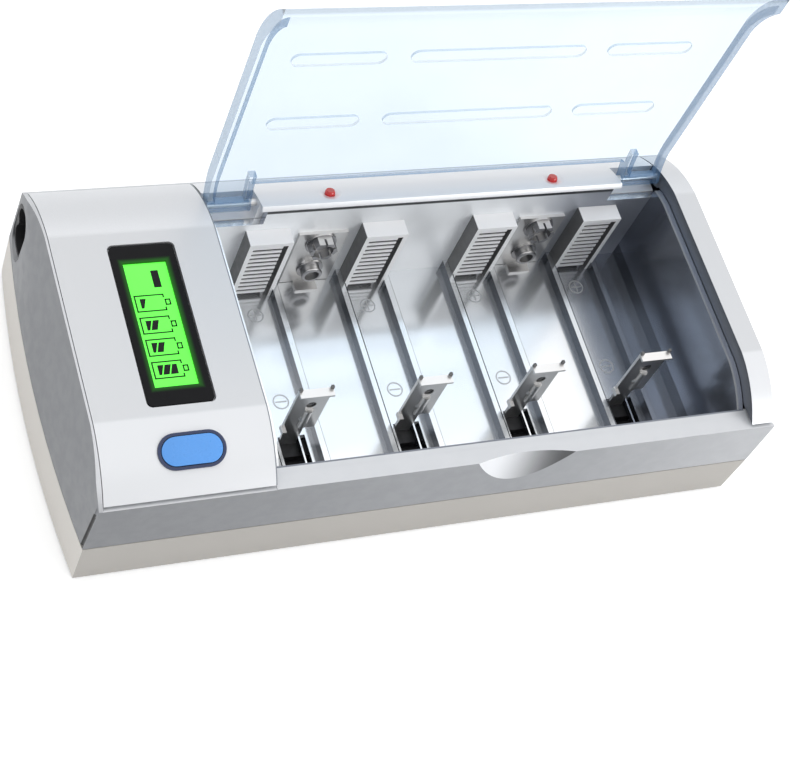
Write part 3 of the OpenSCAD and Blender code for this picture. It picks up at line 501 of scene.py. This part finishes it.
class CHARGER_OT_covers(bpy.types.Operator):
    """Finishes the silver display panel, trim and rear bar"""

    bl_idname = "charger.covers"
    bl_label = "Silver covers"

    def execute(self, context):
        colours = context.scene.charger_colours
        cover = Finish("satin silver paint", metallic=0.3, coat_weight=0.1, coat_roughness=0.2)
        fleck = cover.noise(9000.0, 1.0)
        shade = cover.mottled(25.0, colours.cover, COVER_CLOUD)
        shade = fleck.ramp(*CLOUD_CORE).mix(shade, toned(colours.cover, COVER_FLECK))
        panel_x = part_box("display_panel")[1].x
        bar_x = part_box("rear_bar")[1].x
        trim_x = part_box("right_trim")[0].x
        x, y, _ = cover.place().axes()
        # Painted shade on the flat between the creases, stronger towards the back; the nose keeps
        # the plain, lighter silver
        nose = y.ramp(CREASE_FRONT + CREASE_BLEND, CREASE_FRONT - CREASE_BLEND)
        hump = y.ramp(CREASE_REAR - CREASE_BLEND, CREASE_REAR + CREASE_BLEND)
        fade = y.ramp(CREASE_FRONT, CREASE_REAR, *FLAT_SHADE_FADE)
        flat_shade = (1.0 - nose.most(hump)) * fade
        shade = flat_shade.mix(shade, toned(colours.cover, FLAT_SHADE))
        shade = nose.mix(shade, toned(colours.cover))
        # Painted highlight on the hump of the rear bar
        lip_highlight = hump.least(x > panel_x).least(bar_x > x)
        shade = lip_highlight.mix(shade, toned(colours.cover, LIP_HIGHLIGHT))
        # Painted glow of the lamps on the cover around them
        for name in numbered("indicator_led", PAIR):
            lamp_low, lamp_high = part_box(name)
            middle = (lamp_low + lamp_high) / 2
            glow = cover.near((middle.x, middle.y, lamp_high.z), PAINTED_GLOW_REACH)
            shade = glow.mix(shade, toned(colours.glow))
        # Painted shadow line along the panel's edge beside the tub
        joint = JOINT_HALF > abs(x - panel_x)
        shade = joint.mix(shade, toned(colours.tub_wall_shade, JOINT_SHADOW))
        # Painted shade on the trim's faces turned to the left, towards the tub
        inner = cover.facing().axes()[0].ramp(*TURNED_AWAY).least(x > trim_x - TRIM_SLACK)
        shade = inner.mix(shade, toned(colours.tub_wall_shade, INNER_SHADE))
        cover.set(base_color=shade, roughness=fleck.ramp(*CLOUD, 0.3, 0.42))
        cover.bump(fleck, 0.05, FLECK)
        dress(["display_panel", "right_trim", "rear_bar"], cover)
        return {"FINISHED"}


# painted shadow lines on the rails, from the middle of a bay, and heights above the floor
RAIL_RIGHT, RAIL_LEFT, RAIL_LINE = 8.05 * MM, -6.35 * MM, 0.15 * MM
RAIL_LOW, RAIL_TOP, LEDGE_RISE = 2 * MM, 5 * MM, 6 * MM
# shade on the right, measured from the right wall, and under the rim
REAR_SHADE, FLOOR_SHADE = (50 * MM, 20 * MM), (40 * MM, 8 * MM)
# limits of the painted shade under the rim, how far below the rim the painted shade on the floor
# ends, and width of the painted shade on the right ledge
LIP_LOW, LIP_HIGH, DEEP, LEDGE_WIDE = 1.3 * MM, 0.9 * MM, 8 * MM, 1.4 * MM
CLOUD_STRETCH = (26.0, 12.0, 26.0)
# shares of a colour: in clouds, painted light on the rear wall, painted shade under the rim, on
# rails and on the right ledge, and the strength of the painted shade on the floor by the right wall
FLOOR_CLOUD, WALL_CLOUD, REAR_LIGHT, REAR_CLOUD = 0.96, 0.6, 1.12, 0.85
UNDER_LIP_SHADE, RAIL_LINE_SHADOW, LEDGE_SHADE, RAIL_SIDE_SHADE, FLOOR_SHADE_SHARE = 0.05, 0.12, 1.6, 0.3, 0.75
# plating of the floor and of the rear wall, and their gloss
FLOOR_PLATING, REAR_PLATING, FLOOR_GLOSS, REAR_ROUGHER = 0.82, 0.2, (0.15, 0.21), 0.2


class CHARGER_OT_tub(bpy.types.Operator):
    """Finishes the bright battery tub"""

    bl_idname = "charger.tub"
    bl_label = "Battery tub"

    def execute(self, context):
        colours = context.scene.charger_colours
        tub = Finish("bright tub coat", specular=0.6)
        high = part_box("battery_tub")[1]
        x, _, z = tub.place().axes()
        turn_x, turn_y, _ = tub.facing().axes()
        cloud = tub.noise(1.0, 2.0, tub.stretched(CLOUD_STRETCH)).ramp(*CLOUD_CORE)
        bright = cloud.mix(toned(colours.tub), toned(colours.tub, FLOOR_CLOUD))
        # Painted shade: the walls get a darker copy of the bright coat
        dark = cloud.mix(toned(colours.tub_wall_shade), toned(colours.tub_wall_shade, WALL_CLOUD))
        # Painted light: the rear wall is a paler copy of the coat, and painted shade darkens it
        # towards the right wall
        rear = cloud.mix(toned(colours.tub, REAR_LIGHT), toned(colours.tub, REAR_CLOUD))
        rear = x.ramp(*[high.x - gap for gap in REAR_SHADE]).mix(rear, dark)
        # Painted shade under the rim of the rear wall
        under_lip = z.ramp(high.z - LIP_LOW, high.z - LIP_HIGH)
        rear = under_lip.mix(rear, toned(colours.tub_wall_shade, UNDER_LIP_SHADE))
        block_low, block_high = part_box("contact_block_1")
        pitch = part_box("contact_block_2")[0].x - block_low.x
        floor_z = block_low.z
        middle = (block_low.x + block_high.x) / 2
        across = x.math("MODULO", x - (middle - pitch / 2), pitch) - pitch / 2
        # Painted shadow lines along the rails
        line = (RAIL_LINE > abs(across - RAIL_RIGHT)).most(RAIL_LINE > abs(across - RAIL_LEFT))
        rail = floor_z + RAIL_TOP > z
        line = line.least(z > floor_z + RAIL_LOW).least(rail)
        bright = line.mix(bright, toned(colours.tub_wall_shade, RAIL_LINE_SHADOW))
        # Painted shade on the right ledge
        ledge = (x > high.x - LEDGE_WIDE).least(z > floor_z + LEDGE_RISE)
        bright = ledge.mix(bright, toned(colours.tub_wall_shade, LEDGE_SHADE))
        # Painted shade on the floor towards the right wall
        right_floor_shade = x.ramp(*[high.x - gap for gap in FLOOR_SHADE], 0.0, FLOOR_SHADE_SHARE)
        bright = right_floor_shade.least(high.z - DEEP > z).mix(bright, dark)
        back = turn_y.ramp(*TURNED_AWAY)
        tone = back.mix(bright, rear)
        # Painted shade on the rail sides and on faces turned to the left, such as the right wall
        dark = rail.mix(dark, toned(colours.tub_wall_shade, RAIL_SIDE_SHADE))
        tone = turn_x.ramp(*TURNED_AWAY).mix(tone, dark)
        tub.set(
            base_color=tone,
            metallic=back.ramp(0.0, 1.0, FLOOR_PLATING, REAR_PLATING),
            roughness=cloud.ramp(0.0, 1.0, *FLOOR_GLOSS) + back * REAR_ROUGHER,
        )
        dress(["battery_tub"], tub)
        return {"FINISHED"}


# outer face of the lid's sheet, above which the ribs stand, and the depth of its top rim
LID_RIB_Y, LID_RIM = 41.85 * MM, 2.6 * MM
# facing limits of the painted shade on edge faces and under ribs, and of the graze; share of the
# painted shade on the top rim
LID_EDGE, RIB_UNDER, LID_GRAZE = (0.85, 0.4), (-0.1, -0.5), (0.4, 1.0)
RIM_SHADE, GRAZE_BLEND = 0.35, 0.35
# how much of the lid isn't clear: everywhere, at edges, under ribs, at the rim, seen edge on
LID_BODY, EDGE_BODY, UNDER_BODY, RIM_BODY, GRAZE_BODY = 0.03, 0.5, 0.4, 0.25, 0.2


class CHARGER_OT_lid(bpy.types.Operator):
    """Finishes the clear hinged lid"""

    bl_idname = "charger.lid"
    bl_label = "Clear lid"

    def execute(self, context):
        colours = context.scene.charger_colours
        lid = Finish("clear blue plastic", roughness=0.06, ior=1.49, specular=0.6)
        _, y, z = lid.place().axes()
        _, turn_y, turn_z = lid.facing().axes()
        # Painted shade on the edge faces, the top rim and the ribs' undersides, and a painted
        # highlight on the ribs' edges
        edge = abs(turn_y).ramp(*LID_EDGE)
        rib = y > LID_RIB_Y
        under = rib.least(turn_z.ramp(*RIB_UNDER))
        rib_highlight = edge.least(rib) - under
        lid_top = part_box("lid")[1].z
        rim = z.ramp(lid_top - LID_RIM, lid_top - LID_RIM / 2)
        graze = lid.add("ShaderNodeLayerWeight", sockets={"Blend": GRAZE_BLEND}, out="Facing")
        haze = lid.wavering(40.0, 0.0, 0.02)
        dark = rim.most(under)
        tint = dark.mix(toned(colours.lid_edge_shade), toned(colours.lid_edge_shade, RIM_SHADE))
        lid.set(base_color=rib_highlight.mix(tint, WHITE))
        body = LID_BODY + haze + edge * EDGE_BODY + under * UNDER_BODY + rim * RIM_BODY
        body = body + graze.ramp(*LID_GRAZE, 0.0, GRAZE_BODY)
        lid.see_through(colours.lid, body)
        dress(["lid"], lid)
        return {"FINISHED"}


# dark tips of the slider plates, depths over which painted shade fills the gaps between the ribs of
# a leaf, edges of a block
TIP_RISE, LEAF_GAP_SHADE, BLOCK_EDGE = 1.15 * MM, (0.1 * MM, 0.5 * MM), 0.15 * MM
# facing limits of the painted light on the contacts' upward faces, and their gloss; shares of a
# colour in clouds and of the painted shade on the blocks' left sides
METAL_LIT_UP, METAL_GLOSS = (0.6, 0.9), (0.28, 0.38)
METAL_CLOUD, BLOCK_CLOUD, BLOCK_SIDE_SHADE = 0.88, 0.94, 0.12


class CHARGER_OT_contacts(bpy.types.Operator):
    """Finishes the metal contacts, snaps, springs, pins and screws, and the contact blocks"""

    bl_idname = "charger.contacts"
    bl_label = "Contacts"

    def execute(self, context):
        colours = context.scene.charger_colours
        snaps = numbered("snap_stud", PAIR) + numbered("snap_socket", PAIR)
        fixings = ["inlet_pins", "case_screws", "hinge_pin_left", "hinge_pin_right"]
        plates = numbered("slider_plate", BAYS) + numbered("slider_spring", BAYS)
        tip_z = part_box("slider_plate_1")[1].z - TIP_RISE
        for label, tint, parts in (
            ("nickel-plated sheet", colours.metal, fixings),
            ("contact steel", colours.slider, plates + numbered("snap_plate", PAIR)),
            ("satin snap metal", colours.snap, snaps),
        ):
            metal = Finish(label, metallic=0.9)
            cloud = metal.noise(90.0, 2.0)
            shade = cloud.mix(toned(tint), toned(tint, METAL_CLOUD))
            # Painted light: upward faces get the paler plating colour
            shade = metal.facing().axes()[2].ramp(*METAL_LIT_UP).mix(shade, toned(colours.metal))
            if parts[0] in plates:
                shade = (metal.place().axes()[2] > tip_z).mix(shade, toned(colours.rivet))
            metal.set(base_color=shade, roughness=cloud.ramp(*CLOUD, *METAL_GLOSS))
            dress(parts, metal)
        leaf = Finish("contact leaves", metallic=0.15)
        depth = leaf.place().axes()[1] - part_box("contact_plate_1")[0].y
        # Painted shade deep in the gaps between a leaf's ribs
        gaps = depth.ramp(*LEAF_GAP_SHADE)
        leaf.set(
            base_color=gaps.mix(toned(colours.block), toned(colours.black)),
            roughness=leaf.wavering(300.0, 0.45, 0.55),
        )
        dress(numbered("contact_plate", BAYS), leaf)
        block = Finish("white contact block", specular=0.5)
        white = block.mottled(80.0, colours.block, BLOCK_CLOUD)
        # Painted shade on the blocks' faces turned to the left
        side = block.facing().axes()[0].ramp(*TURNED_AWAY)
        block.set(
            base_color=side.mix(white, toned(colours.block, BLOCK_SIDE_SHADE)),
            roughness=block.wavering(500.0, 0.28, 0.4),
        )
        dress(numbered("contact_block", BAYS), block)
        soften(numbered("contact_block", BAYS), BLOCK_EDGE)
        return {"FINISHED"}


RIVETS = (
    # from the plate's right edge, above the floor, radius
    (-4.4 * MM, 19.15 * MM, 1.35 * MM),
    (-3.9 * MM, 7.8 * MM, 0.65 * MM),
)
# radius and rise of a rivet's head, as shares of its radius and of half the sheet
RIVET_PROFILE = ((0.0, 0.55), (0.35, 0.5), (0.5, 0.2), (0.72, 0.2), (0.86, 0.5), (1.0, 0.3))
# depth of the plate's top flange, and thickness of its sheet
FLANGE, SHEET = 2.6 * MM, 0.8 * MM


class CHARGER_OT_rivets(bpy.types.Operator):
    """Adds the dark contact rivets in the holes of each slider plate"""

    bl_idname = "charger.rivets"
    bl_label = "Slider rivets"

    def execute(self, context):
        colours = context.scene.charger_colours
        finish = Finish("dark contact rivet", metallic=0.9)
        cloud = finish.noise(1500.0)
        finish.set(
            base_color=cloud.mix(toned(colours.rivet), toned(colours.rivet, 0.5)),
            roughness=cloud.ramp(*CLOUD, 0.25, 0.4),
        )
        floor_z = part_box("contact_block_1")[0].z
        for i in BAYS:
            low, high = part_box(f"slider_plate_{i}")

            def build(bm, low=low, high=high):
                for x, z, radius in RIVETS:
                    centre = Vector((high.x + x, low.y + FLANGE - SHEET / 2, floor_z + z))
                    turned(bm, centre, radius, SHEET / 2)

            add_piece(f"slider_rivets_{i}", build, finish, f"slider_{i}")
        return {"FINISHED"}


# display symbols, as shares of the lit width and length: status block, cells, tips and bars
STATUS_U, STATUS_V = (0.59, 0.765), (0.065, 0.205)
CELL_U0, CELL_U1, CELL_H = 0.075, 0.735, 0.127
CELL_TOP, CELL_STEP = 0.265, 0.178
CELL_BARS = (1, 2, 2, 3)
TIP_U0, TIP_U1 = 0.76, 0.86
BAR_U0, BAR_W, BAR_STEP, BAR_LEAN = 0.18, 0.1, 0.17, 0.08
LAST_BAR = 2
# shares of a cell's height
TICK, TIP_IN, BAR_IN = 0.16, 0.34, 0.2
# reach of the painted glow of the display on the window around it
SPILL_GLOW_REACH = 1.6 * MM


class CHARGER_OT_display(bpy.types.Operator):
    """Finishes the display and adds its symbols"""

    bl_idname = "charger.display"
    bl_label = "Display"

    def execute(self, context):
        colours = context.scene.charger_colours
        marks = context.scene.charger_marks
        low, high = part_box("lcd_module")
        lit_w, lit_l = high.x - low.x, high.y - low.y
        window = Finish("dark display window", specular=0.1, emission_strength=0.12)
        x, y, _ = window.place().axes()
        # Painted glow: the window round the lit display glows green though it is no lamp
        out_x = abs(x - (low.x + high.x) / 2) - lit_w / 2
        out_y = abs(y - (low.y + high.y) / 2) - lit_l / 2
        spill_glow = out_x.most(out_y).ramp(SPILL_GLOW_REACH, 0.0)
        window.set(
            base_color=window.mottled(300.0, colours.window, 1.5),
            roughness=window.wavering(90.0, 0.2, 0.28),
            emission_color=spill_glow.mix(BLACK, toned(colours.light)),
        )
        dress(["lcd_window"], window)
        light = Finish("lit green display", roughness=0.3, emission_strength=0.55)
        cloud = light.noise(90.0, 2.0)
        pale = [min(1, c * 1.15 + 0.02) for c in colours.light]
        glow = cloud.mix(toned(colours.light), toned(pale))
        light.set(base_color=glow, emission_color=glow)
        dress(["lcd_module"], light)

        def at(u, v):
            """Point on the display: u from left to right, v from back to front."""
            return low.x + u * lit_w, high.y - v * lit_l

        z0, z1 = high.z, high.z + marks.symbol_relief

        def patch(bm, *points):
            slab(bm, [at(u, v) for u, v in points], z0, z1)

        def line(bm, a, b):
            (xa, ya), (xb, yb) = at(*a), at(*b)
            w = marks.symbol_line / 2
            bar(bm, min(xa, xb) - w, max(xa, xb) + w, min(ya, yb) - w, max(ya, yb) + w, z0, z1)

        def cell_symbol(bm, top, bars):
            """A lying cell: open outline, square tip and slanted charge bars."""
            foot = top + CELL_H
            line(bm, (CELL_U0, top), (CELL_U1, top))
            line(bm, (CELL_U0, foot), (CELL_U1, foot))
            line(bm, (CELL_U0, top), (CELL_U0, foot))
            tick = CELL_H * TICK
            line(bm, (CELL_U1, top), (CELL_U1, top + tick))
            line(bm, (CELL_U1, foot), (CELL_U1, foot - tick))
            t0, t1 = top + CELL_H * TIP_IN, foot - CELL_H * TIP_IN
            for u in (TIP_U0, TIP_U1):
                line(bm, (u, t0), (u, t1))
            for v in (t0, t1):
                line(bm, (TIP_U0, v), (TIP_U1, v))
            b0, b1 = top + CELL_H * BAR_IN, foot - CELL_H * BAR_IN
            for k in range(bars):
                left = BAR_U0 + k * BAR_STEP
                lean_left = 0 if k == 0 else BAR_LEAN
                lean_right = 0 if k == LAST_BAR else BAR_LEAN
                right = left + BAR_W + lean_right / 2
                patch(bm, (left, b0), (left - lean_left, b1), (right - lean_right, b1), (right, b0))

        def symbols(bm):
            (u0, u1), (v0, v1) = STATUS_U, STATUS_V
            patch(bm, (u0, v0), (u0, v1), (u1, v1), (u1, v0))
            for k, bars in enumerate(CELL_BARS):
                cell_symbol(bm, CELL_TOP + k * CELL_STEP, bars)

        ink = Finish("display ink", base_color=toned(colours.window), specular=0.2)
        ink.set(roughness=ink.wavering(300.0, 0.4, 0.55))
        add_piece("display_symbols", symbols, ink)
        return {"FINISHED"}


class CHARGER_OT_button(bpy.types.Operator):
    """Finishes the push button, its rim and the indicator lamps"""

    bl_idname = "charger.button"
    bl_label = "Button and lamps"

    def execute(self, context):
        colours = context.scene.charger_colours
        button = Finish("blue button", specular=0.5, coat_weight=0.3, coat_roughness=0.15)
        button.set(
            base_color=button.mottled(150.0, colours.button, 0.9),
            roughness=button.wavering(600.0, 0.25, 0.36),
        )
        dress(["button"], button)
        rim = Finish("dark blue rim", specular=0.6)
        rim.set(
            base_color=rim.mottled(200.0, colours.rim, 0.92),
            roughness=rim.wavering(500.0, 0.18, 0.28),
        )
        dress(["button_rim"], rim)
        lamp = Finish("red lamp", roughness=0.12, coat_weight=0.5, emission_strength=0.25)
        tint = lamp.mottled(900.0, colours.lamp, 0.75)
        lamp.set(base_color=tint, emission_color=tint)
        dress(numbered("indicator_led", PAIR), lamp)
        return {"FINISHED"}


class CHARGER_OT_inner(bpy.types.Operator):
    """Finishes the inlet, the slider carriages and the parts inside"""

    bl_idname = "charger.inner"
    bl_label = "Inner parts"

    def execute(self, context):
        colours = context.scene.charger_colours
        black = Finish("black plastic", base_color=toned(colours.black), specular=0.4)
        black.set(roughness=black.wavering(700.0, 0.4, 0.6))
        black.bump(black.noise(2500.0), 0.1, FLECK)
        inner = ["tact_switch", "transformer", "board_components", "power_inlet", "insulating_film"]
        dress(inner + numbered("slider_carriage", BAYS), black)
        board = Finish("circuit board", specular=0.5, roughness=0.35)
        board.set(base_color=board.mottled(220.0, colours.board, 0.7))
        dress(["display_board", "main_board"], board)
        return {"FINISHED"}


# from the outside of a mark's ring to the end of its arm, in line widths
ARM_GAP = 1.8
MARK_TONE = 0.6


class CHARGER_OT_marks(bpy.types.Operator):
    """Adds the moulded polarity marks on the floor of each bay"""

    bl_idname = "charger.marks"
    bl_label = "Polarity marks"

    def execute(self, context):
        colours = context.scene.charger_colours
        marks = context.scene.charger_marks
        finish = Finish("moulded mark", metallic=0.6, base_color=toned(colours.tub, MARK_TONE))
        finish.set(roughness=finish.wavering(800.0, 0.3, 0.45))

        def build(bm):
            for i in BAYS:
                block_low, block_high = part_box(f"contact_block_{i}")
                slider_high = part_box(f"slider_plate_{i}")[1]
                x = (block_low.x + block_high.x) / 2
                z0 = block_low.z
                z1 = z0 + marks.mark_relief
                r, w = marks.mark_radius, marks.mark_line
                for y, plus in (
                    (block_low.y - marks.plus_gap, True),
                    (slider_high.y + marks.minus_gap, False),
                ):
                    ring(bm, x, y, r, r - w, z0, z1)
                    arm = r - ARM_GAP * w
                    bar(bm, x - arm, x + arm, y - w / 2, y + w / 2, z0, z1)
                    if plus:
                        for s in (-1, 1):
                            bar(bm, x - w / 2, x + w / 2, y + s * w / 2, y + s * arm, z0, z1)

        add_piece("polarity_marks", build, finish)
        return {"FINISHED"}


# name, place, aim, size, power in watts, and whether metal reflects it: of the two overhead
# lights it reflects only one, so that it doesn't clip
SOFTBOXES = (
    ("overhead softbox", (0.2, 0.15, 1.3), (0.0, 0.0, 0.03), (2.2, 1.8), 6.0, False),
    ("overhead gleam", (0.2, 0.15, 1.2), (0.0, 0.0, 0.03), (2.2, 1.8), 5.5, True),
    ("left softbox", (-1.1, -0.3, 0.7), (0.0, 0.0, 0.03), (0.6, 0.9), 0.4, True),
    ("front softbox", (0.55, -0.6, 0.35), (0.06, 0.0, 0.03), (0.5, 0.4), 2.2, True),
    ("rear softbox", (0.62, 0.78, 1.05), (0.04, 0.0, 0.03), (1.1, 0.8), 0.3, True),
)
WORLD_LIGHT = (0.46, 0.47, 0.48, 1)
# rays that meet the stage as the eye does
SEEN_BY = ("Is Camera Ray", "Is Glossy Ray", "Is Transmission Ray")
FLOOR_HALF, FLOOR_LIFT, CLIP_START = 4.0, 0.42, 0.01


class CHARGER_OT_stage(bpy.types.Operator):
    """Builds the floor, the lights and the camera"""

    bl_idname = "charger.stage"
    bl_label = "Stage"

    def execute(self, context):
        scene = context.scene
        stage = scene.charger_stage
        scene.view_settings.view_transform = "Standard"
        self.add_floor(scene, stage)
        self.add_world(scene)
        for softbox in SOFTBOXES:
            self.add_softbox(scene, *softbox)
        camera = bpy.data.objects.new("camera", bpy.data.cameras.new("camera"))
        scene.collection.objects.link(camera)
        camera.location = stage.camera_at
        camera.rotation_euler = Euler(stage.camera_turn, "XYZ")
        camera.data.lens = stage.camera_lens
        camera.data.clip_start = CLIP_START
        scene.camera = camera
        return {"FINISHED"}

    def add_floor(self, scene, stage):
        mesh = bpy.data.meshes.new("floor")
        bm = bmesh.new()
        bmesh.ops.create_grid(bm, x_segments=1, y_segments=1, size=FLOOR_HALF)
        bm.to_mesh(mesh)
        bm.free()
        paper = Finish("pale floor", base_color=toned(stage.floor), roughness=0.9, specular=0.1)
        level = self.seen(paper) * FLOOR_LIFT
        paper.set(emission_strength=1.0, emission_color=level.mix(BLACK, WHITE))
        mesh.materials.append(paper.material)
        floor = bpy.data.objects.new("floor", mesh)
        scene.collection.objects.link(floor)

    def add_world(self, scene):
        world = bpy.data.worlds.new("studio")
        world.use_nodes = True
        scene.world = world
        studio = Wire(world.node_tree)
        background = world.node_tree.nodes["Background"]
        studio.feed(background.inputs["Color"], self.seen(studio).mix(WORLD_LIGHT, WHITE))

    def seen(self, wires):
        """1 for the rays that meet the stage as the eye does, and 0 for the rest."""
        rays = wires.add("ShaderNodeLightPath").socket.node.outputs
        first, *others = [Wire(wires.tree, rays[name]) for name in SEEN_BY]
        return sum(others, first).ramp(0.0, 1.0)

    def add_softbox(self, scene, name, at, aim, size, power, gleam):
        light = bpy.data.lights.new(name, "AREA")
        light.shape = "RECTANGLE"
        light.size, light.size_y = size
        light.energy = power
        lamp = bpy.data.objects.new(name, light)
        scene.collection.objects.link(lamp)
        lamp.visible_glossy = gleam
        lamp.location = at
        lamp.rotation_euler = (Vector(aim) - Vector(at)).to_track_quat("-Z", "Y").to_euler()


class CHARGER_PT_looks(bpy.types.Panel):
    """Lists the charger's looks in the sidebar"""

    bl_label = "Charger looks"
    bl_idname = "CHARGER_PT_looks"
    bl_space_type = "VIEW_3D"
    bl_region_type = "UI"
    bl_category = "Charger"

    def draw(self, context):
        for group in [getattr(context.scene, name) for name in GROUPS]:
            box = self.layout.box()
            for name in group.__annotations__:
                box.prop(group, name)
        for operator in OPERATORS:
            self.layout.operator(operator.bl_idname)


GROUPS = {
    "charger_colours": ChargerColours,
    "charger_marks": ChargerMarks,
    "charger_stage": ChargerStage,
}
OPERATORS = (
    CHARGER_OT_shells,
    CHARGER_OT_covers,
    CHARGER_OT_tub,
    CHARGER_OT_lid,
    CHARGER_OT_contacts,
    CHARGER_OT_rivets,
    CHARGER_OT_display,
    CHARGER_OT_button,
    CHARGER_OT_inner,
    CHARGER_OT_marks,
    CHARGER_OT_stage,
)


def register():
    for cls in (*GROUPS.values(), *OPERATORS, CHARGER_PT_looks):
        bpy.utils.register_class(cls)
    for name, group in GROUPS.items():
        setattr(bpy.types.Scene, name, bpy.props.PointerProperty(type=group))


def unregister():
    for name in GROUPS:
        delattr(bpy.types.Scene, name)
    for cls in (CHARGER_PT_looks, *reversed(OPERATORS), *GROUPS.values()):
        bpy.utils.unregister_class(cls)


def main():
    register()
    for operator in OPERATORS:
        area, name = operator.bl_idname.split(".")
        getattr(getattr(bpy.ops, area), name)()


if __name__ == "__main__":
    main()
